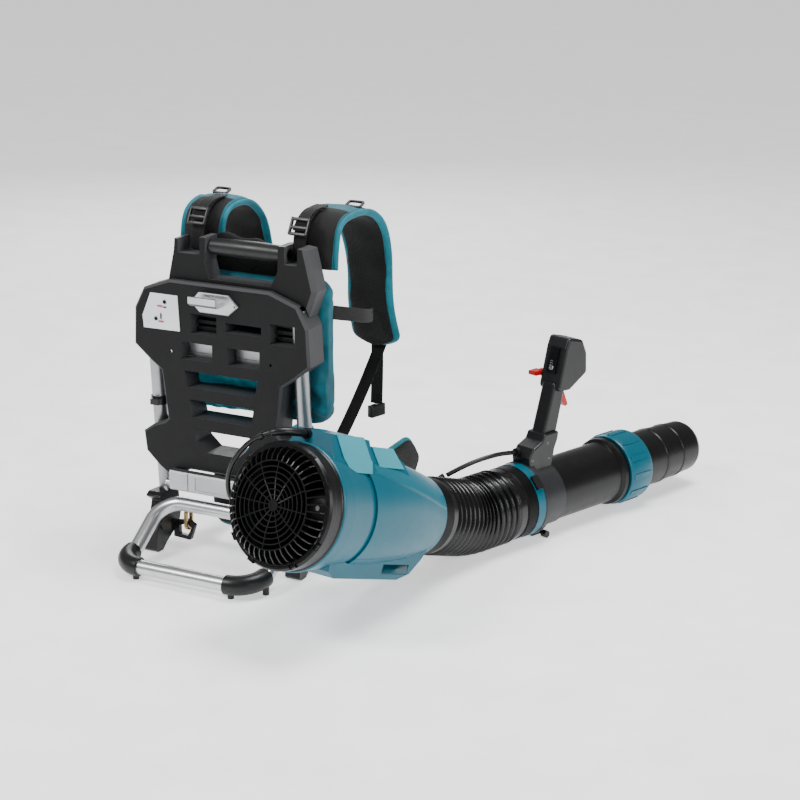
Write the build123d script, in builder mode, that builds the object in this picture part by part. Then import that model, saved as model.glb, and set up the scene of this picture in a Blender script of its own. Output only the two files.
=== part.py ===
"""Backpack leaf blower: carrying frame with harness, fan unit, flexible hose and telescoping pipe.

Millimetres, +Z up, the wearer faces +Y and the fan unit hangs on the wearer's right (+X).
While it is drawn, X = 0 is midway between the two frame tubes, Y = 0 is the line of the front feet
and Z = 0 is the floor. save() then moves every piece so that the origin is below the middle of
the whole machine.
"""
from build123d import *
from math import cos, radians, sin, tan
import os

os.makedirs("parts", exist_ok=True)

# ---- driving dimensions ---------------------------------------------------------------------
MACHINE_MIDDLE = (201.0, 249.5)         # X and Y of the middle of the whole machine
GAP = 0.3                               # clearance between pieces that move apart

TUBE_RADIUS = 12.5                      # 25 mm aluminium tube
TUBE_WALL = 1.6
TUBE_X = 141.0                          # upright tubes, either side of the middle
TUBE_FOOT_Y = 52.0                      # their Y at floor level
TUBE_LEAN = 0.065                       # they lean back by this much per unit of height
TUBE_BOTTOM_Z, TUBE_TOP_Z = 48.0, 452.0

LOOP_HALF_WIDTH = 128.5                 # base loop, on the tube's centre line
LOOP_REAR_Y, LOOP_REAR_Z = -124.0, 22.0
LOOP_BEND_Y, LOOP_BEND_Z = -70.0, 27.0
LOOP_FRONT_Y, LOOP_FRONT_Z = 15.0, 88.0

PLATE_Y = 5.0                           # rear face of the back plate
PLATE_DEPTH = 48.0
PLATE_SKIN = 4.0
PANEL_Y = 18.0                          # rear face of the shoulder panel
PANEL_DEPTH = 37.0
HARNESS_X = 38.0                        # the harness sits this far to the fan unit's side
HANDLE_Y, HANDLE_Z = 36.0, 537.0

FAN_CENTRE = (260.0, -243.0, 224.0)     # centre of the intake rim
FAN_YAW, FAN_PITCH = 9.35, -18.46       # where the air flows to, from +Y towards +X, and upwards
FAN_LENGTH = 352.0                      # intake rim to outlet
DUCT_WALL = 3.0

PIPE_START = (380.0, 347.0, 66.0)       # where the hose's front cuff ends
PIPE_YAW = 19.2
HOSE_RADIUS = 60.0
RIB_RADIUS = 66.0
RIB_COUNT = 14

PIVOT = (120.0, -14.0)                  # vertical pin that the fan unit swings on
PIVOT_Z = (118.0, 158.0)
CORD_RADIUS = 4.0


def heading(yaw, pitch):
    """Unit vector turned from +Y towards +X by yaw and then upwards by pitch, in degrees."""
    flat = cos(radians(pitch))
    return Vector(sin(radians(yaw)) * flat, cos(radians(yaw)) * flat, sin(radians(pitch)))


def save(piece, name):
    """Writes one sub-part, moved so that the origin is below the middle of the machine."""
    moved = piece.moved(Location((-MACHINE_MIDDLE[0], -MACHINE_MIDDLE[1], 0)))
    moved.label = name
    export_step(moved, f"parts/{name}.step")


FAN_AXIS = heading(FAN_YAW, FAN_PITCH)
FAN_UP = (Vector(0, 0, 1) - FAN_AXIS * FAN_AXIS.Z).normalized()
FAN_RIGHT = FAN_AXIS.cross(FAN_UP)
FAN_ORIGIN = Vector(*FAN_CENTRE)
FAN_LINE = Axis(FAN_ORIGIN, FAN_AXIS)
FAN_SIDE = Plane(FAN_ORIGIN, x_dir=FAN_AXIS, z_dir=FAN_RIGHT)      # x along the flow, y up

PIPE_AXIS = heading(PIPE_YAW, 0)
PIPE_RIGHT = PIPE_AXIS.cross(Vector(0, 0, 1))
PIPE_ORIGIN = Vector(*PIPE_START)
PIPE_LINE = Axis(PIPE_ORIGIN, PIPE_AXIS)
PIPE_SIDE = Plane(PIPE_ORIGIN, x_dir=PIPE_AXIS, z_dir=PIPE_RIGHT)  # x along the flow, y up


def fan_section(s):
    """Plane across the fan unit, s along the flow from the intake rim: x right, y up."""
    return Plane(FAN_ORIGIN + FAN_AXIS * s, x_dir=FAN_RIGHT, z_dir=-FAN_AXIS)


def fan_slice(turn):
    """Plane through the fan axis: x along the flow, y outward, turned from up towards the frame."""
    outward = FAN_UP * cos(radians(turn)) - FAN_RIGHT * sin(radians(turn))
    return Plane(FAN_ORIGIN, x_dir=FAN_AXIS, z_dir=FAN_AXIS.cross(outward))


def pipe_section(d):
    """Plane across the pipe, d along the flow from its start: x right, y up."""
    return Plane(PIPE_ORIGIN + PIPE_AXIS * d, x_dir=PIPE_RIGHT, z_dir=-PIPE_AXIS)


def fan_point(s, radius, turn):
    """Point at s along the fan axis, turned from straight up towards the frame, in degrees."""
    across = FAN_UP * (radius * cos(radians(turn))) - FAN_RIGHT * (radius * sin(radians(turn)))
    return FAN_ORIGIN + FAN_AXIS * s + across


def pipe_point(d, right, up):
    """Point at d along the pipe, right of its axis and above it."""
    return PIPE_ORIGIN + PIPE_AXIS * d + PIPE_RIGHT * right + Vector(0, 0, up)


def mirrored(points):
    """A right-hand outline, listed from top to bottom, followed by its mirror image."""
    return points + [(-x, z) for x, z in reversed(points)]


# ---- carrying frame: tubes, base loop, feet -------------------------------------------------
def tube_y(z):
    return TUBE_FOOT_Y - TUBE_LEAN * z


with BuildPart() as frame_tubes:
    for side in (-1, 1):
        bottom = Vector(side * TUBE_X, tube_y(TUBE_BOTTOM_Z), TUBE_BOTTOM_Z)
        top = Vector(side * TUBE_X, tube_y(TUBE_TOP_Z), TUBE_TOP_Z)
        with BuildSketch(Plane(bottom, x_dir=(1, 0, 0), z_dir=top - bottom)):
            Circle(TUBE_RADIUS)
            Circle(TUBE_RADIUS - TUBE_WALL, mode=Mode.SUBTRACT)
        extrude(amount=(top - bottom).length)
save(frame_tubes.part, "frame_tubes")

with BuildPart() as tube_space:
    for side in (-1, 1):
        foot = Vector(side * TUBE_X, tube_y(0), 0)
        with BuildSketch(Plane(foot, x_dir=(1, 0, 0), z_dir=(0, -TUBE_LEAN, 1))):
            Circle(TUBE_RADIUS + 0.02)
        extrude(amount=TUBE_TOP_Z + 8)

half = LOOP_HALF_WIDTH
loop_corners = [                        # it starts and ends inside the right corner cover
    (half - 44.1, LOOP_REAR_Y, LOOP_REAR_Z),
    (half, LOOP_REAR_Y, LOOP_REAR_Z),
    (half, LOOP_BEND_Y, LOOP_BEND_Z),
    (half, LOOP_FRONT_Y, LOOP_FRONT_Z),
    (-half, LOOP_FRONT_Y, LOOP_FRONT_Z),
    (-half, LOOP_BEND_Y, LOOP_BEND_Z),
    (-half, LOOP_REAR_Y, LOOP_REAR_Z),
    (half - 44.3, LOOP_REAR_Y, LOOP_REAR_Z),
]
with BuildLine() as loop_line:
    FilletPolyline(*loop_corners, radius=[44, 20, 44, 44, 20, 44])
loop_start = Plane(loop_line.line @ 0, x_dir=(0, 1, 0), z_dir=loop_line.line % 0)
with BuildPart() as base_loop:
    with BuildSketch(loop_start):
        Circle(TUBE_RADIUS)
        Circle(TUBE_RADIUS - TUBE_WALL, mode=Mode.SUBTRACT)
    sweep(path=loop_line.line)
save(base_loop.part, "base_loop")

with BuildPart() as loop_space:
    with BuildSketch(loop_start):
        Circle(TUBE_RADIUS + 0.02)
    sweep(path=loop_line.line)

COVER_RADIUS = 16.5
with BuildPart() as corner_covers:
    for side in (-1, 1):
        corner_points = [
            (side * 84, LOOP_REAR_Y, LOOP_REAR_Z),
            (side * half, LOOP_REAR_Y, LOOP_REAR_Z),
            (side * half, LOOP_BEND_Y - 8, LOOP_BEND_Z - 0.75),
        ]
        with BuildLine() as corner_line:
            FilletPolyline(*corner_points, radius=44)
        with BuildSketch(Plane(corner_line.line @ 0, x_dir=(0, 1, 0), z_dir=corner_line.line % 0)):
            Circle(COVER_RADIUS)
        sweep(path=corner_line.line)
        with Locations((side * 92, LOOP_REAR_Y, 0), (side * 134, LOOP_BEND_Y - 14, 0)):
            Cylinder(5.5, 12, align=(Align.CENTER, Align.CENTER, Align.MIN))
    add(loop_space.part, mode=Mode.SUBTRACT)
save(corner_covers.part, "corner_covers")

ANCHOR_Y = 50.0
with BuildPart() as tube_brackets:
    for side in (-1, 1):
        with BuildSketch(Plane.YZ.offset(side * TUBE_X - 14)) as bracket_face:
            Polygon((-12, 5), (-7, 0), (9, 0), (20, 10), (46, 26), (62, 40), (66, 52), (60, 99),
                    (12, 102), (2, 96), (20, 84), (14, 64), (-6, 36), align=None)
            fillet(bracket_face.vertices(), 2.5)
        extrude(amount=28)
        with Locations(Plane((side * TUBE_X, 16, 48), x_dir=(0, 1, 0), z_dir=(side, 0, 0))):
            Cylinder(14, 34)
    # open belt anchor loop on the left bracket
    with BuildSketch(Plane.XZ.offset(-(ANCHOR_Y - 4))) as anchor_face:
        Polygon((-130, 40), (-100, 47), (-86, 38), (-96, 10), (-130, 12), align=None)
        Polygon((-118, 34), (-102, 39), (-93, 33), (-101, 17), (-118, 18), align=None,
                mode=Mode.SUBTRACT)
        fillet(anchor_face.vertices(), 2)
    extrude(amount=-8)
    add(loop_space.part, mode=Mode.SUBTRACT)
    add(tube_space.part, mode=Mode.SUBTRACT)
save(tube_brackets.part, "tube_brackets")

with BuildPart() as snap_hook:
    with BuildSketch(Plane((-101, ANCHOR_Y, 47.6), x_dir=(0, 1, 0), z_dir=(1, 0, 0))):
        SlotOverall(40, 20, rotation=90)
        SlotOverall(32, 12, rotation=90, mode=Mode.SUBTRACT)
    extrude(amount=3, both=True)
save(snap_hook.part, "snap_hook")

# ---- back plate: a ribbed shell open towards the wearer -------------------------------------
plate_right = [
    (95, 479), (147, 461), (166, 425), (169, 362), (137, 336), (117, 322), (107, 240),
    (113, 234), (137, 225), (157, 211), (153, 176), (127, 152), (112, 142), (88, 143), (66, 155),
]
WINDOW_LOW, WINDOW_HIGH = 347.0, 377.0
with BuildSketch() as plate_windows:
    for left, right, low, high in ((-56, -5, 393, 427), (11, 80, 403, 419), (95, 142.5, 393, 427),
                                   (-76, -14.5, WINDOW_LOW, WINDOW_HIGH),
                                   (14.5, 76, WINDOW_LOW, WINDOW_HIGH)):
        with Locations(((left + right) / 2, (low + high) / 2)):
            Rectangle(right - left, high - low)
    for low, high in ((299, 328), (248, 279)):
        inner_low, inner_high = (57.6 + (z - 248) * 0.167 for z in (low, high))
        Polygon((-inner_high, high), (inner_high, high), (inner_low, low), (-inner_low, low),
                align=None)
    Polygon((-54, 228), (54, 228), (51, 208), (31, 190), (-31, 190), (-51, 208), align=None)
with BuildSketch() as window_walls:
    add(plate_windows.sketch)
    offset(amount=PLATE_SKIN, kind=Kind.INTERSECTION, mode=Mode.REPLACE)
with BuildSketch() as plate_face:
    Polygon(*mirrored(plate_right), align=None)
    add(plate_windows.sketch, mode=Mode.SUBTRACT)
with BuildSketch() as plate_pocket:
    Polygon(*mirrored(plate_right), align=None)
    offset(amount=-PLATE_SKIN, kind=Kind.INTERSECTION, mode=Mode.REPLACE)
    add(window_walls.sketch, mode=Mode.SUBTRACT)

front_of_plate = Plane.XZ.offset(-PLATE_Y)
with BuildPart() as back_plate:
    with BuildSketch(front_of_plate):
        add(plate_face.sketch)
    extrude(amount=-PLATE_DEPTH)
    outer_rim = back_plate.faces().sort_by(Axis.Y)[0].outer_wire().edges()
    chamfer(outer_rim, 4)
    with BuildSketch(front_of_plate.offset(-PLATE_SKIN - 2)):
        add(plate_pocket.sketch)
    extrude(amount=-PLATE_DEPTH, mode=Mode.SUBTRACT)
    with Locations((0, PLATE_Y + 36, (WINDOW_LOW + WINDOW_HIGH) / 2)):
        Box(168, 26, WINDOW_HIGH - WINDOW_LOW + 3, mode=Mode.SUBTRACT)
    with Locations(*[Plane((x, PLATE_Y, 357.5), z_dir=(0, -1, 0)) for x in (-96, 96)]):
        Hole(3.0, depth=20)
    # vent bars across the two outer openings of the upper row
    for x, width in ((-30.5, 56), (118.75, 53)):
        for z in (398, 410, 422):
            with Locations((x, PLATE_Y + 26, z)):
                Box(width, 14, 6)
    add(tube_space.part, mode=Mode.SUBTRACT)
save(back_plate.part, "back_plate")

# aluminium cross rail seen through the two upper windows
rail_profile = [(0, -14.8), (3, -14.8), (3, -5), (9, -5), (9, 5), (3, 5), (3, 14.8), (0, 14.8),
                (0, 8), (2, 8), (2, -8), (0, -8)]
with BuildPart() as cross_rail:
    with BuildSketch(Plane((-82, PLATE_Y + 24, 362), x_dir=(0, 1, 0), z_dir=(1, 0, 0))):
        Polygon(*rail_profile, align=None)
    extrude(amount=164)
save(cross_rail.part, "cross_rail")

# cast hook that a power unit hangs on
with BuildPart() as hook_plate:
    with BuildSketch(Plane.XZ.offset(-PLATE_Y)):
        Polygon((-52, 449), (-36, 466), (22, 466), (40, 449), (20, 432), (-34, 432), align=None)
    extrude(amount=5)
    chamfer(hook_plate.faces().sort_by(Axis.Y)[0].edges(), 1.5)
    with BuildSketch(Plane.YZ.offset(-40)):
        Polygon((1, 447), (-18, 447), (-24, 452), (-24, 463), (-19, 463), (-18, 455), (1, 455),
                align=None)
    extrude(amount=52)
    with Locations(*[Plane((x, 0, 449), z_dir=(0, -1, 0)) for x in (-46, 34)]):
        Hole(2.2, depth=4)
save(hook_plate.part, "hook_plate")

with BuildPart() as label_plate:
    with BuildSketch(Plane.XZ.offset(-PLATE_Y)):
        Polygon((-132, 454), (-79, 454), (-76, 394), (-147, 393), (-149, 414), align=None)
    extrude(amount=0.8)
save(label_plate.part, "label_plate")

# ---- shoulder panel with its carrying handle ------------------------------------------------
POST_OUT = 80.0
panel_outline = [
    (-104, 476.1), (-92, 527), (-90, 547), (-84, 547), (-84, 524), (-42, 524), (-42, 553),
    (-30.5, 553), (-33, 512), (-26, 485), (92, 485), (105, 512), (106.5, 553), (118, 553),
    (118, 524), (142, 524), (142, 552), (158, 550), (174, 484), (158.5, 440.5),
    (147.2, 461.2), (95.1, 479.2), (-95.1, 479.2),
]
with BuildPart() as shoulder_panel:
    with BuildSketch(Plane.XZ.offset(-PANEL_Y)) as panel_face:
        Polygon(*panel_outline, align=None)
    extrude(amount=-PANEL_DEPTH)
    panel_rim = shoulder_panel.faces().sort_by(Axis.Y)[0].outer_wire().edges()
    chamfer(panel_rim.filter_by(lambda edge: edge.center().X > 150), 7)
    with BuildSketch(Plane.XZ.offset(-PANEL_Y - 8)):
        Polygon((-99, 484), (-88, 519), (-38, 519), (-37, 511), (-31, 484), align=None)
        Polygon((98, 484), (103, 519), (146, 519), (149, 542), (153, 542), (167, 484), (157, 453),
                (150, 466), align=None)
    extrude(amount=-PANEL_DEPTH, mode=Mode.SUBTRACT)
    handle_line = Plane((HARNESS_X, HANDLE_Y, HANDLE_Z), z_dir=(1, 0, 0))
    with Locations(handle_line):
        Cylinder(10.02, 160, mode=Mode.SUBTRACT)
    add(tube_space.part, mode=Mode.SUBTRACT)
save(shoulder_panel.part, "shoulder_panel")

with BuildPart() as carry_handle:
    with BuildSketch(handle_line.offset(-POST_OUT)):
        Circle(10)
        Circle(7.5, mode=Mode.SUBTRACT)
    extrude(amount=2 * POST_OUT)
    with BuildSketch(Plane((HARNESS_X, HANDLE_Y, HANDLE_Z), x_dir=(1, 0, 0), z_dir=(0, -1, 0))):
        with BuildLine():
            Polyline((66, 13), (66, 9.9), (-66, 9.9), (-66, 13))
            ThreePointArc((-66, 13), (0, 15), (66, 13))
        make_face()
    revolve(axis=Axis((HARNESS_X, HANDLE_Y, HANDLE_Z), (1, 0, 0)))
save(carry_handle.part, "carry_handle")

# ---- lower cross casting, its wing bolt, the power socket and the swing pin -----------------
CASTING_Y, CASTING_DEPTH = -13.0, 17.9
BOLT_Y, BOLT_Z = -4.0, 130.0
with BuildPart() as cross_casting:
    with Locations((0.5, CASTING_Y + CASTING_DEPTH / 2, 138)):
        Box(191, CASTING_DEPTH, 34)
    chamfer(cross_casting.edges().filter_by(Axis.X), 2.5)
    with Locations((-58, CASTING_Y, 138)):
        Box(3, 3, 34, mode=Mode.SUBTRACT)
    with Locations((18, CASTING_Y, 138)):
        Box(124, 2, 22, mode=Mode.SUBTRACT)
    for z in (PIVOT_Z[0] + 5, PIVOT_Z[1] - 5):
        with Locations((108, PIVOT[1] + 3, z)):
            Box(26, 16, 9.4)
        with Locations((PIVOT[0], PIVOT[1], z)):
            Cylinder(11, 9.4)
    with Locations((PIVOT[0], PIVOT[1], 138)):
        Cylinder(5.02, 60, mode=Mode.SUBTRACT)
    with Locations(Plane((-95, BOLT_Y, BOLT_Z), z_dir=(-1, 0, 0))):
        Hole(4.05, depth=26)
save(cross_casting.part, "cross_casting")

with BuildPart() as wing_bolt:
    with Locations(Plane((-87, BOLT_Y, BOLT_Z), z_dir=(1, 0, 0))):
        Cylinder(4, 26)
    with Locations(Plane((-101, BOLT_Y, BOLT_Z), z_dir=(1, 0, 0))):
        Cylinder(6.5, 9)
    with BuildSketch(Plane((-104, BOLT_Y, BOLT_Z), x_dir=(0, 1, 0), z_dir=(1, 0, 0))):
        for turn in (35, 215):
            with Locations(Location((0, 0), turn)):
                Polygon((0, -3), (13, -5), (13.5, 5), (0, 3), align=None)
    extrude(amount=5)
save(wing_bolt.part, "wing_bolt")

with BuildPart() as swing_pin:
    with Locations((PIVOT[0], PIVOT[1], 138)):
        Cylinder(4.97, 46)
    with Locations((PIVOT[0], PIVOT[1], 163)):
        Cylinder(8, 4)
save(swing_pin.part, "swing_pin")

SOCKET_Y, SOCKET_Z = -12.0, 111.4
with BuildPart() as power_socket:
    with Locations((80, SOCKET_Y + 22, SOCKET_Z)):
        Box(30, 24, 18.8)
    fillet(power_socket.edges().filter_by(Axis.Y), 4)
    with Locations(Plane((80, SOCKET_Y, SOCKET_Z), z_dir=(0, 1, 0))):
        Cylinder(8.5, 12, align=(Align.CENTER, Align.CENTER, Align.MIN))
save(power_socket.part, "power_socket")

with BuildPart() as tube_clip:
    clip_z = 262.0
    with Locations(Plane((-TUBE_X, tube_y(clip_z), clip_z), z_dir=(0, -TUBE_LEAN, 1))):
        Cylinder(15, 14)
    with Locations((-TUBE_X + 4, tube_y(clip_z) - 19, clip_z)):
        Box(16, 10, 10)
    add(tube_space.part, mode=Mode.SUBTRACT)
save(tube_clip.part, "tube_clip")

# ---- harness: plain soft solids and the hard pieces sewn to them ----------------------------
with BuildPart() as back_pad:
    with BuildSketch(Plane.XZ.offset(-58)):
        with Locations((HARNESS_X, 372)):
            RectangleRounded(278, 254, 34)
    extrude(amount=-30)
    fillet(back_pad.faces().filter_by(Axis.Y).edges(), 8)
save(back_pad.part, "back_pad")

STRAP_X, STRAP_WIDTH, STRAP_THICK = 108.0, 74.0, 20.0
strap_inner_side = [(80, 508), (85, 560), (114, 575), (186, 575), (228, 536), (241, 478), (242, 418),
                    (270, 337)]
with BuildPart() as shoulder_straps:
    for side in (-1, 1):
        with BuildSketch(Plane.YZ.offset(HARNESS_X + side * STRAP_X)):
            with BuildLine():
                FilletPolyline(*strap_inner_side, radius=[14, 18, 30, 40, 60, 60])
                offset(amount=STRAP_THICK, side=Side.LEFT)
            make_face()
        extrude(amount=STRAP_WIDTH / 2, both=True)
save(shoulder_straps.part, "shoulder_straps")

belt_route = [(-66, 420, 84), (-82, 84, 84), (158, 84, 84), (142, 420, 84)]
with BuildLine() as belt_line:
    FilletPolyline(*belt_route, radius=50)
with BuildPart() as hip_belt:
    with BuildSketch(Plane(belt_line.line @ 0, x_dir=(0, 0, 1), z_dir=belt_line.line % 0)):
        RectangleRounded(92, 26, 12)
    sweep(path=belt_line.line)
save(hip_belt.part, "hip_belt")

# webbing: load lifters from the panel's shelves to the strap tops, and the straps below
LIFTERS_X, WEB_WIDTH, WEB_THICK = (-62.0, 130.0), 23.0, 2.0
with BuildPart() as webbing:
    for x in LIFTERS_X:
        with BuildSketch(Plane.YZ.offset(x)):
            with BuildLine():
                FilletPolyline((46, 524.4), (47, 556), (66, 592), (112, 604), radius=14)
                offset(amount=WEB_THICK, side=Side.LEFT)
            make_face()
        extrude(amount=WEB_WIDTH / 2, both=True)
    for points in (((183, 92, 436), (160, 232, 398)), ((150, 284, 333), (134, 182, 206)),
                   ((140, 288, 333), (139, 288, 224))):
        start, end = Vector(*points[0]), Vector(*points[1])
        with BuildSketch(Plane(start, x_dir=Vector(0, 1, 0).cross(end - start), z_dir=end - start)):
            Rectangle(WEB_THICK, WEB_WIDTH)
        extrude(amount=(end - start).length)
    add(shoulder_straps.part, mode=Mode.SUBTRACT)
save(webbing.part, "webbing")

with BuildPart() as buckles:
    for x in LIFTERS_X:
        with BuildSketch(Plane((x, 48, 583), x_dir=(1, 0, 0), z_dir=(0, -0.87, 0.49))):
            Rectangle(34, 28)
            for across in (-9, 0, 9):
                with Locations((0, across)):
                    Rectangle(26, 4.5, mode=Mode.SUBTRACT)
        extrude(amount=5)
    with Locations((139, 288, 212)):
        Box(14, 34, 22)
save(buckles.part, "buckles")

with BuildPart() as shoulder_rings:
    for side in (-1, 1):
        with BuildSketch(Plane((HARNESS_X + side * 128, 166, 599), x_dir=(1, 0, 0),
                               z_dir=(0, -0.35, 1))):
            RectangleRounded(30, 20, 5)
            RectangleRounded(23, 13, 3, mode=Mode.SUBTRACT)
        extrude(amount=3.5)
save(shoulder_rings.part, "shoulder_rings")

# ---- fan unit: casings ----------------------------------------------------------------------
with BuildPart() as intake_ring:
    with BuildSketch(FAN_SIDE) as ring_profile:
        Polygon((-4, 90.5), (-4, 95), (0, 98), (9, 98), (11, 96.5), (24, 96.5), (26, 98), (28, 98),
                (28, 90.5), align=None)
        fillet(ring_profile.vertices(), 0.9)
    revolve(axis=FAN_LINE)
save(intake_ring.part, "intake_ring")

DISC_S, DISC_RADIUS, CONE_S, CONE_RADIUS = -24.0, 68.0, -3.0, 90.3
with BuildPart() as intake_grille:
    for index in range(8):
        ring_radius = DISC_RADIUS * (index + 1) / 8 - 1
        dish = 9 * max(0.0, 1 - ring_radius / 40)
        with BuildSketch(fan_section(DISC_S + dish)):
            Circle(ring_radius + 1)
            Circle(ring_radius - 1, mode=Mode.SUBTRACT)
        extrude(amount=-3.5)
    with BuildSketch(fan_section(DISC_S + 6)):
        Circle(9)
    extrude(amount=-6)
    for index in range(12):
        with BuildSketch(fan_slice(index * 30)):
            Polygon((DISC_S + 8, 3), (DISC_S + 0.4, 40), (DISC_S + 0.4, DISC_RADIUS - 0.5),
                    (DISC_S + 3, DISC_RADIUS - 0.5), (DISC_S + 3, 40), (DISC_S + 11, 3), align=None)
        extrude(amount=0.9, both=True)
    for index in range(44):
        with BuildSketch(fan_slice(index * 360 / 44 + 4)):
            Polygon((-24, 66.6), (-21.5, 76), (-14, 85.5), (-2, 89.6), (0.5, 89.6), (-9, 83),
                    (-17, 74), (-20.5, 66.6), align=None)
        extrude(amount=0.9, both=True)
    with BuildSketch(FAN_SIDE):
        Polygon((-3.5, 87.6), (-3.5, 90.3), (2, 90.3), (2, 87.6), align=None)
    revolve(axis=FAN_LINE)
save(intake_grille.part, "intake_grille")

with BuildPart() as fan_duct:
    with BuildSketch(FAN_SIDE):
        Polygon((28.4, 90), (40, 86.5), (125, 86.5), (160, 84), (350, 59.5), (350, 57), (160, 81.4),
                (125, 84), (40, 84), (28.4, 87.4), align=None)
    revolve(axis=FAN_LINE)
save(fan_duct.part, "fan_duct")

with BuildPart() as rear_shell:
    with BuildSketch(FAN_SIDE):
        Polygon((28.05, 90.6), (28.05, 98.2), (30, 99.5), (34, 99.5), (36, 97.4), (60, 95.8),
                (112, 91), (112, 89.1), (127, 89.1), (127, 87.3), (110, 87.3), (60, 92.6),
                (36, 93.8), (36, 90.6), align=None)
    revolve(axis=FAN_LINE)
save(rear_shell.part, "rear_shell")

sleeve_curve = [(122, 92.5), (170, 92), (220, 89), (270, 83.5), (315, 75.5), (FAN_LENGTH, 67)]
with BuildPart() as front_sleeve:
    with BuildSketch(FAN_SIDE):
        with BuildLine():
            Spline(*sleeve_curve)
            Line(sleeve_curve[-1], (FAN_LENGTH, 64))
            Spline(*[(s, radius - DUCT_WALL) for s, radius in reversed(sleeve_curve)])
            Line((122, 89.5), sleeve_curve[0])
        make_face()
    revolve(axis=FAN_LINE)
save(front_sleeve.part, "front_sleeve")

with BuildPart() as casing_space:
    with BuildSketch(FAN_SIDE):
        with BuildLine():
            Polyline((-10, 0), (-10, 99.6), (35, 99.6), (36.1, 97.5), (60, 95.9), (112, 91.1),
                     (122, 92.6))
            Spline(*[(s, radius + 0.1) for s, radius in sleeve_curve])
            Polyline((FAN_LENGTH, 67.1), (FAN_LENGTH, 0), (-10, 0))
        make_face()
    revolve(axis=FAN_LINE)

saddle_section = [(32, 119), (46, 88), (62, 68), (50, 50), (-50, 50), (-62, 68), (-46, 88), (-32, 119)]
nose_section = [(27, 106), (42, 84), (58, 62), (46, 44), (-46, 44), (-58, 62), (-42, 84), (-27, 106)]
with BuildPart() as top_saddle:
    with BuildSketch(fan_section(42)):
        Polygon(*saddle_section, align=None)
    extrude(amount=-104)
    with BuildSketch(FAN_SIDE):
        Polygon((36, 40), (52, 125), (146, 116), (158, 40), align=None)
    extrude(amount=70, both=True, mode=Mode.INTERSECT)
    add(casing_space.part, mode=Mode.SUBTRACT)
with BuildPart() as saddle_nose:
    with BuildSketch(fan_section(140)):
        Polygon(*nose_section, align=None)
    extrude(amount=-110)
    with BuildSketch(FAN_SIDE):
        Polygon((155, 40), (145, 108), (214, 102), (240, 86), (250, 40), align=None)
    extrude(amount=70, both=True, mode=Mode.INTERSECT)
    add(casing_space.part, mode=Mode.SUBTRACT)
with BuildPart() as saddle:
    add(top_saddle.part)
    add(saddle_nose.part)
save(saddle.part, "top_saddle")

# pale cover panels on the right-hand flanks of the saddle and its nose
panels = [
    (
        [(33, 119.5), (47.5, 88.3), (64, 68), (61.2, 67), (46.4, 88.3), (32.3, 119.3)],
        [(58, 130), (128, 130), (141, 84), (122, 60), (78, 60), (70, 84)]),
    (
        [(28.7, 106), (43.7, 84.3), (59.2, 64), (58.1, 62.2), (42.3, 84.3), (27.3, 106.3)],
        [(160, 130), (210, 130), (233, 78), (166, 78)]),
]


def panel_cover(section, trim):
    """One thin panel lying on the saddle, cut to its outline as seen from the side."""
    with BuildPart() as cover_panel:
        with BuildSketch(fan_section(40)):
            Polygon(*section, align=None)
        extrude(amount=-210)
        with BuildSketch(FAN_SIDE):
            Polygon(*trim, align=None)
        extrude(amount=90, mode=Mode.INTERSECT)
        add(casing_space.part, mode=Mode.SUBTRACT)
        add(saddle.part, mode=Mode.SUBTRACT)
    return cover_panel.part


panel_pieces = [panel_cover(section, trim) for section, trim in panels]
with BuildPart() as cover_panels:
    for panel_piece in panel_pieces:
        add(panel_piece)
save(cover_panels.part, "cover_panels")

BASE_HALF = 57.0
with BuildPart() as base_box:
    with BuildSketch(fan_section(60)):
        Polygon((BASE_HALF - 3, -30), (BASE_HALF, -64), (BASE_HALF - 4, -98), (4 - BASE_HALF, -98),
                (-BASE_HALF, -64), (3 - BASE_HALF, -30), align=None)
    extrude(amount=-280)
    with BuildSketch(FAN_SIDE):
        Polygon((70, -55), (78, -88), (94, -98), (262, -98), (292, -88), (334, -42), (334, -25),
                (70, -25), align=None)
    extrude(amount=90, both=True, mode=Mode.INTERSECT)
    add(casing_space.part, mode=Mode.SUBTRACT)
    with Locations(Plane(FAN_ORIGIN + FAN_AXIS * 250 + FAN_RIGHT * (BASE_HALF - 1) - FAN_UP * 81,
                         x_dir=FAN_AXIS, z_dir=FAN_RIGHT)):
        Box(70, 16, 6, mode=Mode.SUBTRACT)
save(base_box.part, "base_box")

# ---- fan unit: what turns inside it ---------------------------------------------------------
SHAFT_RADIUS = 4.0
with BuildPart() as impeller:
    with BuildSketch(FAN_SIDE):
        with BuildLine():
            Polyline((146, SHAFT_RADIUS), (146, 35), (112, 33))
            ThreePointArc((112, 33), (98, 24), (92, SHAFT_RADIUS))
            Line((92, SHAFT_RADIUS), (146, SHAFT_RADIUS))
        make_face()
    revolve(axis=FAN_LINE)
    for index in range(11):
        outward = fan_slice(index * 360 / 11).y_dir
        middle = FAN_ORIGIN + FAN_AXIS * 126
        for reach, lean in ((32.0, 35.0), (80.5, 62.0)):
            along = FAN_AXIS * cos(radians(lean)) + FAN_AXIS.cross(outward) * sin(radians(lean))
            with BuildSketch(Plane(middle + outward * reach, x_dir=along, z_dir=outward)):
                SlotOverall(38 if reach < 50 else 30, 2.6)
        loft()
save(impeller.part, "impeller")

with BuildPart() as motor_rotor:
    with BuildSketch(fan_section(92.2)):
        Circle(SHAFT_RADIUS)
    extrude(amount=-142)
    with BuildSketch(fan_section(174)):
        Circle(18)
    extrude(amount=-46)
save(motor_rotor.part, "motor_rotor")

with BuildPart() as motor_stator:
    with BuildSketch(fan_section(172)):
        Circle(33)
        Circle(18.8, mode=Mode.SUBTRACT)
    extrude(amount=-50)
save(motor_stator.part, "motor_stator")

with BuildPart() as motor_bearings:
    for s in (158, 226):
        with BuildSketch(fan_section(s)):
            Circle(11)
            Circle(SHAFT_RADIUS + 0.04, mode=Mode.SUBTRACT)
        extrude(amount=-7)
save(motor_bearings.part, "motor_bearings")

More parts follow.
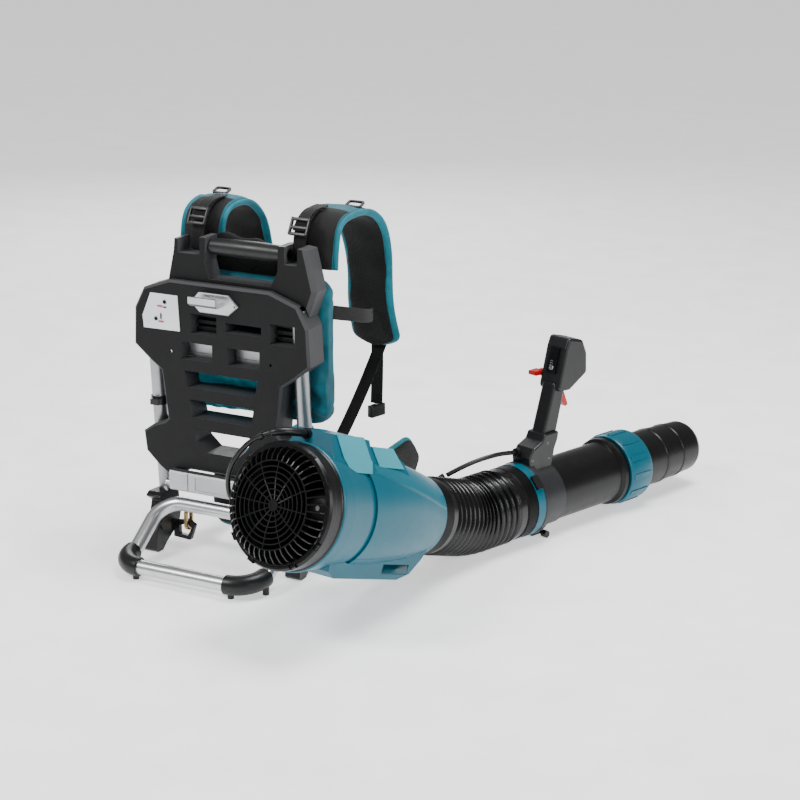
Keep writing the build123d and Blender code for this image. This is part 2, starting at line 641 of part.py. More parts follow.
with BuildPart() as motor_housing:
    with BuildSketch(FAN_SIDE):
        Polygon((152, 11.05), (152, 36), (236, 36), (262, 26), (276, 10), (276, 0), (272, 0), (260, 22),
                (236, 30), (236, 11.05), (224, 11.05), (224, 33.05), (168, 33.05), (168, 11.05),
                align=None)
    revolve(axis=FAN_LINE)
    for index in range(7):
        with BuildSketch(fan_slice(index * 360 / 7 + 12)):
            Polygon((153, 35.5), (153, 81.7), (160, 81.1), (190, 77.2), (190, 35.5), align=None)
        extrude(amount=1.5, both=True)
save(motor_housing.part, "motor_housing")

# ---- arm that the fan unit swings on --------------------------------------------------------
with BuildPart() as swing_arm:
    with Locations((PIVOT[0], PIVOT[1], 138)):
        Cylinder(10.9, 20)
    with Locations((PIVOT[0] + 45, PIVOT[1], 138)):
        Box(84, 14, 18)
    with Locations((PIVOT[0] + 88, PIVOT[1], 146)):
        Box(24, 70, 62)
    fillet(swing_arm.edges().filter_by(Axis.X), 4)
    add(casing_space.part, mode=Mode.SUBTRACT)
    with Locations((PIVOT[0], PIVOT[1], 138)):
        Cylinder(5.04, 60, mode=Mode.SUBTRACT)
save(swing_arm.part, "swing_arm")

# ---- hose: two halves of one corrugated duct, each between a cuff and the middle ------------
hose_start = FAN_ORIGIN + FAN_AXIS * (FAN_LENGTH + 26.3)
hose_end = PIPE_ORIGIN - PIPE_AXIS * 33.3
reach = (hose_start.Z - hose_end.Z) / -FAN_AXIS.Z
hose_corner = hose_start + FAN_AXIS * reach
hose_turn = radians(FAN_AXIS.get_angle(PIPE_AXIS))
shorter = min((hose_corner - hose_start).length, (hose_end - hose_corner).length)
hose_bend = 0.8 * shorter / tan(hose_turn / 2)
with BuildLine() as hose_line:
    FilletPolyline(hose_start, hose_corner, hose_end, radius=hose_bend)
with BuildPart() as hose:
    with BuildSketch(Plane(hose_start, x_dir=FAN_RIGHT, z_dir=FAN_AXIS)):
        Circle(HOSE_RADIUS)
    sweep(path=hose_line.line)
    for index in range(RIB_COUNT):
        position = (index + 0.5) / RIB_COUNT
        station = Plane(hose_line.line @ position, z_dir=hose_line.line % position)
        with Locations(station):
            Cylinder(RIB_RADIUS, 7)
    with BuildSketch(Plane(hose_start, x_dir=FAN_RIGHT, z_dir=FAN_AXIS)):
        Circle(HOSE_RADIUS - 3)
    sweep(path=hose_line.line, mode=Mode.SUBTRACT)
hose_middle = Plane(hose_line.line @ 0.5, z_dir=hose_line.line % 0.5)
for half_name, kept in (("hose_rear", Keep.BOTTOM), ("hose_front", Keep.TOP)):
    with BuildPart() as hose_half:
        add(hose.part)
        split(bisect_by=hose_middle, keep=kept)
    save(hose_half.part, half_name)

with BuildPart() as outlet_collar:
    with BuildSketch(FAN_SIDE):
        Polygon((350.1, 57.1), (350.1, 63.4), (352.05, 63.4), (352.05, 65.5), (378, 64.5), (378, 57.1),
                align=None)
    revolve(axis=FAN_LINE)
save(outlet_collar.part, "outlet_collar")

SCREW_UP = -59.5                        # clamp screw, below the pipe axis

# ---- pipe: cuff, band, sleeve, tube, collar and nozzle --------------------------------------
pipe_rings = {
    "hose_cuff": [(-33, 57.1), (-33, 62.5), (-30, 64), (-8, 64), (-8, 57.1)],
    "clamp_band": [(-7.9, 57.6), (-7.9, 64.8), (9.9, 64.8), (9.9, 57.6)],
    "control_sleeve": [(-8, 55.05), (-8, 57.5), (10, 57.5), (10, 64), (12, 66), (22, 66), (25, 63),
                       (25, 57.5), (69, 57.5), (69, 55.05)],
    "blower_pipe": [(-8, 52.6), (-8, 55), (220, 55), (224, 60.5), (231, 61.5), (233, 58), (288, 58),
                    (288, 52.6)],
    "nozzle": [(150, 49.5), (150, 52.2), (300, 52.2), (302, 53.6), (308, 53.6), (310, 52.4),
               (352, 51), (354, 52), (360, 52), (362, 50.6), (400, 49.4), (402, 50.4), (407, 50.4),
               (409, 49), (446, 47.2), (452, 44.5), (450, 43.5), (408, 46), (300, 49.5)],
}
for ring_name, profile in pipe_rings.items():
    with BuildPart() as pipe_ring:
        with BuildSketch(PIPE_SIDE):
            Polygon(*profile, align=None)
        revolve(axis=PIPE_LINE)
        if ring_name == "control_sleeve":
            with Locations(Plane(pipe_point(28, 22, -54), x_dir=PIPE_AXIS, z_dir=PIPE_RIGHT)):
                Box(26, 18, 12)
            with Locations(Plane(pipe_point(34, 24, SCREW_UP), z_dir=PIPE_RIGHT)):
                Cylinder(3.05, 40, mode=Mode.SUBTRACT)
            with BuildSketch(pipe_section(-8)):
                Circle(55.05)
            extrude(amount=-77, mode=Mode.SUBTRACT)
    save(pipe_ring.part, ring_name)

with BuildPart() as length_collar:
    with BuildSketch(PIPE_SIDE):
        Polygon((238, 58.2), (238, 62.5), (241, 64), (292, 64), (296, 62.5), (296, 52.9), (289, 52.9),
                (289, 58.2), align=None)
    revolve(axis=PIPE_LINE)
    for index in range(12):
        with BuildSketch(pipe_section(244)):
            with PolarLocations(63.8, 1, start_angle=index * 30):
                Rectangle(3.2, 9)
        extrude(amount=-44)
save(length_collar.part, "length_collar")

with BuildPart() as clamp_screw:
    with Locations(Plane(pipe_point(34, 26, SCREW_UP), z_dir=PIPE_RIGHT)):
        Cylinder(3, 20)
    with Locations(Plane(pipe_point(34, 41, SCREW_UP), z_dir=PIPE_RIGHT)):
        Cylinder(6.4, 10)
save(clamp_screw.part, "clamp_screw")

LATCH_TURN = 48.0
latch_out = Vector(0, 0, cos(radians(LATCH_TURN))) + PIPE_RIGHT * sin(radians(LATCH_TURN))
with BuildPart() as band_latch:
    with Locations(Plane(PIPE_ORIGIN + PIPE_AXIS + latch_out * 67.8, x_dir=PIPE_AXIS, z_dir=latch_out)):
        Box(15, 26, 4.4)
save(band_latch.part, "band_latch")

# ---- control handle on the sleeve -----------------------------------------------------------
base_side = [(14, 50), (12, 76), (24, 92), (45, 101), (51, 113), (87, 113), (84, 98), (77, 84), (69, 50)]
grip_side = [(46, 92), (79, 198), (109, 192), (82, 88)]
head_side = [(78.6, 184), (98, 258), (106, 276), (141, 267), (152, 242), (153, 206), (110, 182)]
TRIGGER_PIVOT = (100.0, 179.0)
LEVER_PLACE, LEVER_SHAFT = (93.0, 208.0), 2.9
trigger_side = [(95, 184), (107, 184), (113, 178), (125, 150), (119, 147), (106, 160), (95, 172)]
trigger_slot = [(90, 186), (110, 186), (130, 178), (130, 144), (98, 144), (88, 160)]


def handle_block(outline, half_width, rounding, softness):
    """A block drawn from the side, with rounded corners and softened side edges."""
    with BuildPart() as block:
        with BuildSketch(PIPE_SIDE) as side_view:
            Polygon(*outline, align=None)
            fillet(side_view.vertices(), rounding)
        extrude(amount=half_width, both=True)
        side_faces = block.faces().sort_by(Axis(PIPE_ORIGIN, PIPE_RIGHT))
        fillet(side_faces[0].edges() + side_faces[-1].edges(), softness)
    return block.part


handle_blocks = [
    handle_block(base_side, 21, 4, 3),
    handle_block(grip_side, 15, 3, 6),
    handle_block(head_side, 24, 7, 5),
]
with BuildPart() as handle_form:
    for handle_piece in handle_blocks:
        add(handle_piece)
    with BuildSketch(PIPE_SIDE):
        Polygon(*trigger_slot, align=None)
    extrude(amount=5.4, both=True, mode=Mode.SUBTRACT)
    with BuildSketch(PIPE_SIDE):
        Polygon((90, 208), (104, 262), (138, 258), (144, 240), (144, 210), (108, 192), (92, 192),
                align=None)
    extrude(amount=19, both=True, mode=Mode.SUBTRACT)
    for start, length, radius in ((-8, 100, 57.55), (9, 16.05, 66.05)):
        with BuildSketch(pipe_section(start)):
            Circle(radius)
        extrude(amount=-length, mode=Mode.SUBTRACT)
    with Locations(Plane(pipe_point(TRIGGER_PIVOT[0], 0, TRIGGER_PIVOT[1]), z_dir=PIPE_RIGHT)):
        Cylinder(2, 12)
    with Locations(Plane(pipe_point(LEVER_PLACE[0], -24, LEVER_PLACE[1]), z_dir=PIPE_RIGHT)):
        Cylinder(LEVER_SHAFT + GAP, 12, mode=Mode.SUBTRACT)
    button_out = Vector(0, 0, 0) - PIPE_AXIS * cos(radians(16)) + Vector(0, 0, sin(radians(16)))
    button_seat = pipe_point(90.0, 0, 222)
    with Locations(Plane(button_seat, z_dir=button_out)):
        Cylinder(4.7, 30, mode=Mode.SUBTRACT)
for half_name, kept in (("handle_left", Keep.BOTTOM), ("handle_right", Keep.TOP)):
    with BuildPart() as handle_half:
        add(handle_form.part)
        split(bisect_by=PIPE_SIDE, keep=kept)
    save(handle_half.part, half_name)

panel_middle = pipe_point(91.6, 0, 236)
with BuildPart() as display_panel:
    with Locations(Plane(panel_middle, x_dir=PIPE_RIGHT, z_dir=button_out)):
        Box(20, 46, 6)
    add(handle_form.part, mode=Mode.SUBTRACT)
    with Locations(Plane(button_seat, z_dir=button_out)):
        Cylinder(4.7, 40, mode=Mode.SUBTRACT)
display_solid = display_panel.part.solids().sort_by(Axis(panel_middle, button_out))[-1]
save(display_solid, "display_panel")

with BuildPart() as power_button:
    with Locations(Plane(button_seat, z_dir=button_out)):
        Cylinder(4.3, 12)
    fillet(power_button.faces().sort_by(Axis(button_seat, button_out))[-1].edges(), 1)
save(power_button.part, "power_button")

with BuildPart() as trigger:
    with BuildSketch(PIPE_SIDE) as trigger_face:
        Polygon(*trigger_side, align=None)
        fillet(trigger_face.vertices(), 1.5)
    extrude(amount=5, both=True)
    with Locations(Plane(pipe_point(TRIGGER_PIVOT[0], 0, TRIGGER_PIVOT[1]), z_dir=PIPE_RIGHT)):
        Cylinder(2.06, 20, mode=Mode.SUBTRACT)
save(trigger.part, "trigger")

with BuildPart() as cruise_lever:
    with Locations(Plane(pipe_point(LEVER_PLACE[0], -28, LEVER_PLACE[1]), z_dir=PIPE_RIGHT)):
        Cylinder(7, 7)
    with Locations(Plane(pipe_point(LEVER_PLACE[0], -25, LEVER_PLACE[1]), z_dir=PIPE_RIGHT)):
        Cylinder(LEVER_SHAFT, 11)
    with Locations(Plane(pipe_point(LEVER_PLACE[0] - 9, -35, LEVER_PLACE[1]), x_dir=PIPE_AXIS,
                         z_dir=PIPE_RIGHT)):
        Box(19, 8, 17)
    paddle_edges = cruise_lever.edges().filter_by(GeomType.LINE)
    fillet(paddle_edges.filter_by(lambda edge: edge.length > 16), 1.5)
save(cruise_lever.part, "cruise_lever")

# ---- cables and their fittings --------------------------------------------------------------
def cord_radii(points):
    """The largest arc that the two runs beside each corner leave room for."""
    radii = []
    for before, corner, after in zip(points, points[1:], points[2:]):
        shorter_run = min((corner - before).length, (after - corner).length)
        turn = radians((corner - before).get_angle(after - corner))
        radii.append(0.45 * shorter_run / tan(turn / 2))
    return radii


def cord_tube(points, radius):
    """A cord: straight runs joined by tangent arcs, with a round section."""
    radii = cord_radii(points)
    print("cord radii", [round(value, 1) for value in radii])
    with BuildPart() as tube:
        with BuildLine() as route:
            FilletPolyline(*points, radius=radii)
        with BuildSketch(Plane(route.line @ 0, z_dir=route.line % 0)):
            Circle(radius)
        sweep(path=route.line)
    print("cord length", round(sum(edge.length for edge in route.edges()), 1))
    return tube.part


ring_hug = [(44, 112, 7), (16, 113, 9), (-4, 113, 22), (-9, 112, 38), (-10, 110, 55), (-7, 110, 71),
            (2, 110, 85), (18, 111, 97)]
gap_route = [(150, -172, 186), (141, -134, 166), (127, -104, 145), (109, -84, 127), (90, -70, 114.5),
             (80, -54, SOCKET_Z)]
PLUG_LENGTH = 26.0
plug_tail = Vector(80, SOCKET_Y - PLUG_LENGTH, SOCKET_Z)
power_points = ([fan_point(*place) for place in ring_hug] + [Vector(*place) for place in gap_route]
                + [plug_tail])
save(cord_tube(power_points, CORD_RADIUS), "power_cord")

with BuildPart() as power_plug:
    with BuildSketch(Plane(plug_tail, z_dir=(0, 1, 0))):
        Circle(6)
    with BuildSketch(Plane(plug_tail + Vector(0, 10, 0), z_dir=(0, 1, 0))):
        Circle(9)
    loft()
    with BuildSketch(Plane(plug_tail + Vector(0, 10, 0), z_dir=(0, 1, 0))):
        Circle(9)
    extrude(amount=PLUG_LENGTH - 10.02)
save(power_plug.part, "power_plug")

front_points = [pipe_point(6, -8, 84), pipe_point(-22, -9, 89), pipe_point(-58, -15, 88),
                pipe_point(-94, -29, 79), pipe_point(-124, -44, 64)]
save(cord_tube(front_points, CORD_RADIUS), "control_cable_front")

clip_middle = pipe_point(-132, -48, 59)
CLIP_END = pipe_point(-140, -52, 54)
rear_points = [CLIP_END, pipe_point(-165, -62, 44), fan_point(427, 79, 62), fan_point(398, 81, 76),
               fan_point(368, 81, 86)]
save(cord_tube(rear_points, CORD_RADIUS), "control_cable_rear")

with BuildPart() as hose_clip:
    with Locations(Plane(clip_middle, z_dir=(front_points[-1] - CLIP_END))):
        Cylinder(7, 12)
        Cylinder(CORD_RADIUS + 0.05, 30, mode=Mode.SUBTRACT)
save(hose_clip.part, "hose_clip")

with BuildPart() as cable_fittings:
    with Locations(Plane(fan_point(50.8, 112, 7), z_dir=FAN_AXIS)):
        Cylinder(8.5, 12.2)
    clip_along = fan_point(*ring_hug[2]) - fan_point(*ring_hug[3])
    with Locations(Plane((fan_point(*ring_hug[2]) + fan_point(*ring_hug[3])) / 2, z_dir=clip_along)):
        Cylinder(6.5, 7)
        Cylinder(CORD_RADIUS + 0.3, 16, mode=Mode.SUBTRACT)
    with Locations(Plane(fan_point(354, 81, 86), z_dir=FAN_AXIS)):
        Cylinder(7, 24)
    with Locations(Plane(fan_point(344, 76, 86), z_dir=FAN_AXIS)):
        Box(14, 14, 20)
    add(casing_space.part, mode=Mode.SUBTRACT)
    add(saddle.part, mode=Mode.SUBTRACT)
save(cable_fittings.part, "cable_fittings")

with BuildPart() as handle_relief:
    with Locations(Plane(pipe_point(10.6, -8, 83.7), z_dir=PIPE_AXIS)):
        Cylinder(7.5, 7.4)
    add(handle_form.part, mode=Mode.SUBTRACT)
save(handle_relief.part, "handle_relief")
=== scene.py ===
from math import cos, pi, radians, sin

import bmesh
import bpy
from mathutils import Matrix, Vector, noise


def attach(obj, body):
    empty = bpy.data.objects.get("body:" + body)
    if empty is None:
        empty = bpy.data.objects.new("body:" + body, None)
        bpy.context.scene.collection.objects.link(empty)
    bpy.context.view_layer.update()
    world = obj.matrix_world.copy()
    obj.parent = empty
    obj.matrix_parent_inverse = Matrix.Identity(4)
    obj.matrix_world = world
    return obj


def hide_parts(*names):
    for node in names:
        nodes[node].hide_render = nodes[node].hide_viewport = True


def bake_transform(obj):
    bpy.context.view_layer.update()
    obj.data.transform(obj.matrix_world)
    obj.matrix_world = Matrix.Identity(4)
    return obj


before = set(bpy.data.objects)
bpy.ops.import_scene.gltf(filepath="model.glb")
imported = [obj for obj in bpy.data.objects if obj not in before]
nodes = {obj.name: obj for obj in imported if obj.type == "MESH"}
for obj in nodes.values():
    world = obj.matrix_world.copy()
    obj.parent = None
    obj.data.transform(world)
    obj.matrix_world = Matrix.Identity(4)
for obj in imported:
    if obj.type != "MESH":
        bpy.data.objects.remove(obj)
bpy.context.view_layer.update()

# ---- the machine's own coordinates ---------------------------------------------------------------
# millimetres: X = 0 midway between the frame tubes, Y = 0 at the front feet, Z = 0 on the floor
MACHINE_MIDDLE = (201.0, 249.5)
FAN_CENTRE, FAN_YAW, FAN_PITCH = (260.0, -243.0, 224.0), 9.35, -18.46    # intake rim, degrees
FAN_LENGTH = 352.0                                  # intake rim to outlet
PIPE_START, PIPE_YAW = (380.0, 347.0, 66.0), 19.2   # where the hose's front cuff ends
HARNESS_X, STRAP_X = 38.0, 108.0                    # harness middle, and each strap from it
CORD_RADIUS = 4.0
SOCKET_Y, SOCKET_Z, PLUG_LENGTH = -12.0, 111.4, 26.0


def heading(yaw, pitch):
    """Unit vector turned from +Y towards +X by yaw and then upwards by pitch, in degrees."""
    flat = cos(radians(pitch))
    return Vector((sin(radians(yaw)) * flat, cos(radians(yaw)) * flat, sin(radians(pitch))))


def at(x, y, z):
    """A point given in the machine's millimetres, in the row frame in metres."""
    return Vector((x - MACHINE_MIDDLE[0], y - MACHINE_MIDDLE[1], z)) / 1000


UP = Vector((0, 0, 1))
FAN_AXIS = heading(FAN_YAW, FAN_PITCH)
FAN_UP = (UP - FAN_AXIS * FAN_AXIS.z).normalized()
FAN_RIGHT = FAN_AXIS.cross(FAN_UP)
PIPE_AXIS = heading(PIPE_YAW, 0)
PIPE_RIGHT = PIPE_AXIS.cross(UP)


def fan_point(s, radius, turn):
    """Point at s along the fan axis, turned from straight up towards the frame."""
    across = FAN_UP * (radius * cos(radians(turn))) - FAN_RIGHT * (radius * sin(radians(turn)))
    return at(*FAN_CENTRE) + (FAN_AXIS * s + across) / 1000


def fan_place(s, right, up):
    """Point at s along the fan axis, then right and up across it."""
    return at(*FAN_CENTRE) + (FAN_AXIS * s + FAN_RIGHT * right + FAN_UP * up) / 1000


def pipe_point(d, right, up):
    """Point at d along the pipe from its start, then right and up across it."""
    return at(*PIPE_START) + (PIPE_AXIS * d + PIPE_RIGHT * right + UP * up) / 1000


# ---- camera ------------------------------------------------------------------------------------
CAMERA_PLACE, CAMERA_AZIMUTH, CAMERA_ELEVATION = (1734.7, -2688.6, 1249.7), 27.5, 16.8
CAMERA_LENS, SENSOR_WIDTH = 91.1, 36.0
camera = bpy.data.objects.new("camera", bpy.data.cameras.new("camera"))
bpy.context.scene.collection.objects.link(camera)
camera.data.lens, camera.data.sensor_width = CAMERA_LENS, SENSOR_WIDTH
camera.location = at(*CAMERA_PLACE)
view_line = heading(-CAMERA_AZIMUTH, -CAMERA_ELEVATION)
camera.rotation_euler = view_line.to_track_quat("-Z", "Y").to_euler()
bpy.context.scene.camera = camera


# ---- mesh helpers ------------------------------------------------------------------------------
def add_piece(name, vertices, faces, body, material, smooth=True, uvs=None):
    """A mesh piece that rides on a body; uvs are per vertex, in metres."""
    mesh = bpy.data.meshes.new(name)
    mesh.from_pydata([tuple(v) for v in vertices], [], faces)
    if uvs is not None:
        layer = mesh.uv_layers.new(name="UVMap")
        for loop in mesh.loops:
            layer.data[loop.index].uv = uvs[loop.vertex_index]
    piece = bpy.data.objects.new(name, mesh)
    bpy.context.scene.collection.objects.link(piece)
    mesh.polygons.foreach_set("use_smooth", [smooth] * len(mesh.polygons))
    mesh.materials.append(material)
    mesh.update()
    if body:
        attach(piece, body)
    return piece


def fix_normals(piece):
    work = bmesh.new()
    work.from_mesh(piece.data)
    bmesh.ops.recalc_face_normals(work, faces=work.faces)
    work.to_mesh(piece.data)
    work.free()
    return piece


def frames_along(points, side=None, reach=1):
    """(point, side, normal) at each point; a fixed side keeps a flat strap level.

    Tangents are taken over reach points each way.
    """
    made, carried = [], None
    for index, point in enumerate(points):
        ahead = points[min(index + reach, len(points) - 1)]
        behind = points[max(index - reach, 0)]
        tangent = (ahead - behind).normalized()
        if side is not None:
            across = (side - tangent * side.dot(tangent)).normalized()
        else:
            if carried is None:
                carried = tangent.orthogonal().normalized()
            across = (carried - tangent * carried.dot(tangent)).normalized()
            carried = across
        made.append((point, across, tangent.cross(across).normalized()))
    return made


def skin(name, rings, body, material, closed=False):
    """Joins equal rings of points into one tube, with UVs in metres along it and round it."""
    count = len(rings[0])
    vertices, uvs = [], []
    along = 0.0
    for index, ring in enumerate(rings):
        if index:
            along += (sum(ring, Vector()) / count - sum(rings[index - 1], Vector()) / count).length
        round_it = 0.0
        for place, point in enumerate(ring):
            if place:
                round_it += (point - ring[place - 1]).length
            vertices.append(point)
            uvs.append((round_it, along))
    faces = []
    ring_pairs = len(rings) if closed else len(rings) - 1
    for index in range(ring_pairs):
        low, high = index * count, ((index + 1) % len(rings)) * count
        for place in range(count):
            following = (place + 1) % count
            faces.append((low + place, low + following, high + following, high + place))
    if not closed:
        faces.append(tuple(reversed(range(count))))
        last = (len(rings) - 1) * count
        faces.append(tuple(range(last, last + count)))
    return fix_normals(add_piece(name, vertices, faces, body, material, uvs=uvs))


def round_section(radius_side, radius_normal, power=2.0, count=24):
    """A superellipse as (side, normal) offsets in metres."""
    section = []
    for index in range(count):
        angle = 2 * pi * index / count
        c, s = cos(angle), sin(angle)
        section.append((radius_side * abs(c) ** (2 / power) * (1 if c >= 0 else -1),
                        radius_normal * abs(s) ** (2 / power) * (1 if s >= 0 else -1)))
    return section


def sweep(name, points, section, body, material, side=None, scale=None):
    """Sweeps a section along points; scale(share of the length) may shrink it."""
    rings = []
    last = max(1, len(points) - 1)
    for index, (point, across, normal) in enumerate(frames_along(points, side)):
        grow = scale(index / last) if scale else 1.0
        rings.append([point + across * (x * grow) + normal * (y * grow) for x, y in section])
    return skin(name, rings, body, material)


def smooth_path(points, pieces=16):
    """Points along a NURBS line through the ends, with the given control points."""
    curve = bpy.data.curves.new("route", "CURVE")
    curve.dimensions = "3D"
    curve.resolution_u = pieces
    spline = curve.splines.new("NURBS")
    spline.points.add(len(points) - 1)
    for control, point in zip(spline.points, points):
        control.co = (*point, 1)
    spline.order_u = 3
    spline.use_endpoint_u = True
    holder = bpy.data.objects.new("route", curve)
    mesh = bpy.data.meshes.new_from_object(holder)
    line = [v.co.copy() for v in mesh.vertices]
    bpy.data.objects.remove(holder)
    bpy.data.meshes.remove(mesh)
    bpy.data.curves.remove(curve)
    return line


def even_steps(points, step):
    """The same line with points a step apart."""
    lengths = [0.0]
    for a, b in zip(points, points[1:]):
        lengths.append(lengths[-1] + (b - a).length)
    count = max(2, round(lengths[-1] / step))
    out, index = [], 0
    for k in range(count + 1):
        want = lengths[-1] * k / count
        while index < len(points) - 2 and lengths[index + 1] < want:
            index += 1
        span = lengths[index + 1] - lengths[index]
        out.append(points[index].lerp(points[index + 1], (want - lengths[index]) / span if span else 0))
    return out


def block(name, centre, x_dir, y_dir, size, body, material, bevel=0.0012, segments=3):
    """A box with rounded edges; size in millimetres along x_dir, y_dir and their normal."""
    x_dir = x_dir.normalized()
    z_dir = x_dir.cross(y_dir).normalized()
    y_dir = z_dir.cross(x_dir)
    work = bmesh.new()
    bmesh.ops.create_cube(work, size=1.0)
    for vertex in work.verts:
        x, y, z = (vertex.co[i] * size[i] / 1000 for i in range(3))
        vertex.co = centre + x_dir * x + y_dir * y + z_dir * z
    bmesh.ops.bevel(work, geom=work.edges[:], offset=bevel, segments=segments, profile=0.6,
                    affect="EDGES", clamp_overlap=True)
    bmesh.ops.recalc_face_normals(work, faces=work.faces)
    mesh = bpy.data.meshes.new(name)
    work.to_mesh(mesh)
    work.free()
    piece = bpy.data.objects.new(name, mesh)
    bpy.context.scene.collection.objects.link(piece)
    mesh.polygons.foreach_set("use_smooth", [True] * len(mesh.polygons))
    mesh.materials.append(material)
    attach(piece, body)
    return piece


def turned(name, centre, axis, profile, body, material, count=32):
    """A solid of revolution: profile is (distance along axis, radius) in millimetres."""
    axis = axis.normalized()
    side = axis.orthogonal().normalized()
    other = axis.cross(side)
    rings = []
    for along, radius in profile:
        rings.append([centre + (axis * along + side * (radius * cos(2 * pi * k / count))
                                + other * (radius * sin(2 * pi * k / count))) / 1000
                      for k in range(count)])
    return skin(name, rings, body, material)


def joined(name, pieces):
    """Several pieces of one body and material as one piece."""
    keep = pieces[0]
    work = bmesh.new()
    for piece in pieces:
        work.from_mesh(piece.data)
    work.to_mesh(keep.data)
    work.free()
    keep.data.polygons.foreach_set("use_smooth", [True] * len(keep.data.polygons))
    for piece in pieces[1:]:
        bpy.data.objects.remove(piece)
    keep.name = name
    return keep


# ---- materials ---------------------------------------------------------------------------------
class Shader:
    """A small builder for node materials."""

    def __init__(self, name):
        self.material = bpy.data.materials.new(name)
        self.material.use_nodes = True
        self.tree = self.material.node_tree
        self.shader = self.tree.nodes["Principled BSDF"]

    def node(self, kind, inputs=None, **settings):
        made = self.tree.nodes.new(kind)
        for key, value in settings.items():
            setattr(made, key, value)
        for key, value in (inputs or {}).items():
            if isinstance(value, bpy.types.NodeSocket):
                self.tree.links.new(value, made.inputs[key])
            else:
                made.inputs[key].default_value = value
        return made

    def place(self, scale=(1, 1, 1), uv=False):
        source = self.node("ShaderNodeTexCoord").outputs["UV" if uv else "Object"]
        return self.node("ShaderNodeMapping", {"Vector": source, "Scale": scale}).outputs[0]

    def noise(self, scale, detail=3.0, where=None, rough=0.5):
        inputs = {"Scale": scale, "Detail": detail, "Roughness": rough,
                  "Vector": where or self.place()}
        return self.node("ShaderNodeTexNoise", inputs).outputs["Fac"]

    def mix_colour(self, share, low, high):
        made = self.node("ShaderNodeMix", data_type="RGBA")
        self.tree.links.new(share, made.inputs[0])
        made.inputs[6].default_value = (*low, 1)
        made.inputs[7].default_value = (*high, 1)
        return made.outputs[2]

    def ranged(self, value, low, high, new_low, new_high):
        return self.node("ShaderNodeMapRange", {"Value": value, "From Min": low, "From Max": high,
                                                "To Min": new_low, "To Max": new_high}).outputs[0]

    def math(self, operation, first, second=0.0):
        return self.node("ShaderNodeMath", {0: first, 1: second}, operation=operation).outputs[0]

    def set(self, **values):
        for key, value in values.items():
            socket = self.shader.inputs[key.replace("_", " ")]
            if isinstance(value, bpy.types.NodeSocket):
                self.tree.links.new(value, socket)
            else:
                socket.default_value = value
        return self

    def bump(self, height, distance, strength=1.0):
        made = self.node("ShaderNodeBump", {"Height": height, "Distance": distance,
                                            "Strength": strength})
        self.tree.links.new(made.outputs[0], self.shader.inputs["Normal"])


def shade(colour, factor):
    return tuple(min(1.0, c * factor) for c in colour)


def plastic(name, colour, rough, grain=0.25, grain_scale=1400.0, gloss=0.5, coat=0.0, edges=None):
    """Moulded plastic: spark grain, faint flow marks and scuffs that change the gloss."""
    made = Shader(name)
    cloud = made.noise(9.0, 4.0)
    scuff = made.noise(60.0, 6.0, made.place((1, 1, 0.6)), 0.7)
    tint = made.mix_colour(made.ranged(cloud, 0.3, 0.7, 0, 1), shade(colour, 0.93), shade(colour, 1.06))
    if edges:
        # painted highlight: the slanted rims are painted paler than the face towards the rear
        normal = made.node("ShaderNodeNewGeometry").outputs["Normal"]
        facing = made.node("ShaderNodeSeparateXYZ", {0: normal}).outputs["Y"]
        painted_highlight = made.node("ShaderNodeMix", data_type="RGBA")
        made.tree.links.new(made.ranged(facing, -0.97, -0.85, 0, 1), painted_highlight.inputs[0])
        made.tree.links.new(tint, painted_highlight.inputs[6])
        painted_highlight.inputs[7].default_value = (*edges, 1)
        tint = painted_highlight.outputs[2]
    made.set(Base_Color=tint,
             Roughness=made.ranged(scuff, 0.35, 0.75, rough - 0.05, rough + 0.08))
    made.shader.inputs["Specular IOR Level"].default_value = gloss
    made.shader.inputs["Coat Weight"].default_value = coat
    made.shader.inputs["Coat Roughness"].default_value = 0.12
    made.bump(made.noise(grain_scale, 2.0), 0.0002, grain)
    return made.material


def creased(name, colour, painted_highlight, origin, along, up, right):
    """The casing's plastic, with two long soft creases on its right side and a painted highlight on its
    upper flank.

    A crease is where the turn round the axis, in radians, passes a level that shifts with the way
    along it, in metres.
    """
    made = Shader(name)
    spot = made.node("ShaderNodeVectorMath", {0: made.node("ShaderNodeTexCoord").outputs["Object"],
                                              1: origin}, operation="SUBTRACT").outputs[0]
    s, u, r = (made.node("ShaderNodeVectorMath", {0: spot, 1: way}, operation="DOT_PRODUCT").outputs[1]
               for way in (along, up, right))
    turn = made.math("ARCTAN2", u, r)
    upper = made.math("ADD", turn, made.math("MULTIPLY", s, 2.4))
    upper = made.ranged(upper, 1.13, 1.21, 0, 1)
    lower = made.math("SUBTRACT", turn, made.math("MULTIPLY", s, 0.5))
    lower = made.ranged(lower, -0.86, -0.82, 1, 0)
    cloud = made.noise(9.0, 4.0)
    # painted highlight: the upper flank is mixed towards the paler colour, with random tone from the
    # cloud
    highlight_and_tone = made.math("ADD", made.math("MULTIPLY", upper, 0.35), made.ranged(cloud, 0.3, 0.7, 0, 0.18))
    made.set(Base_Color=made.mix_colour(highlight_and_tone, colour, painted_highlight),
             Roughness=made.ranged(made.noise(60.0, 6.0, rough=0.7), 0.35, 0.75, 0.3, 0.42))
    made.shader.inputs["Specular IOR Level"].default_value = 0.3
    height = made.math("ADD", upper, lower)
    made.bump(height, 0.0035, 0.9)
    return made.material


def metal(name, colour, rough, streak=(1, 1, 30), grain=0.15, scale=260.0):
    """Metal with fine drawing lines or, with an even streak, a cast skin."""
    made = Shader(name)
    lines = made.noise(scale, 4.0, made.place(streak), 0.6)
    cloud = made.noise(25.0, 3.0)
    made.set(Base_Color=made.mix_colour(made.ranged(cloud, 0.3, 0.7, 0, 1), shade(colour, 0.9),
                                        shade(colour, 1.05)),
             Metallic=1.0, Roughness=made.ranged(lines, 0.3, 0.7, rough - 0.07, rough + 0.1))
    made.bump(lines, 0.0003, grain)
    return made.material


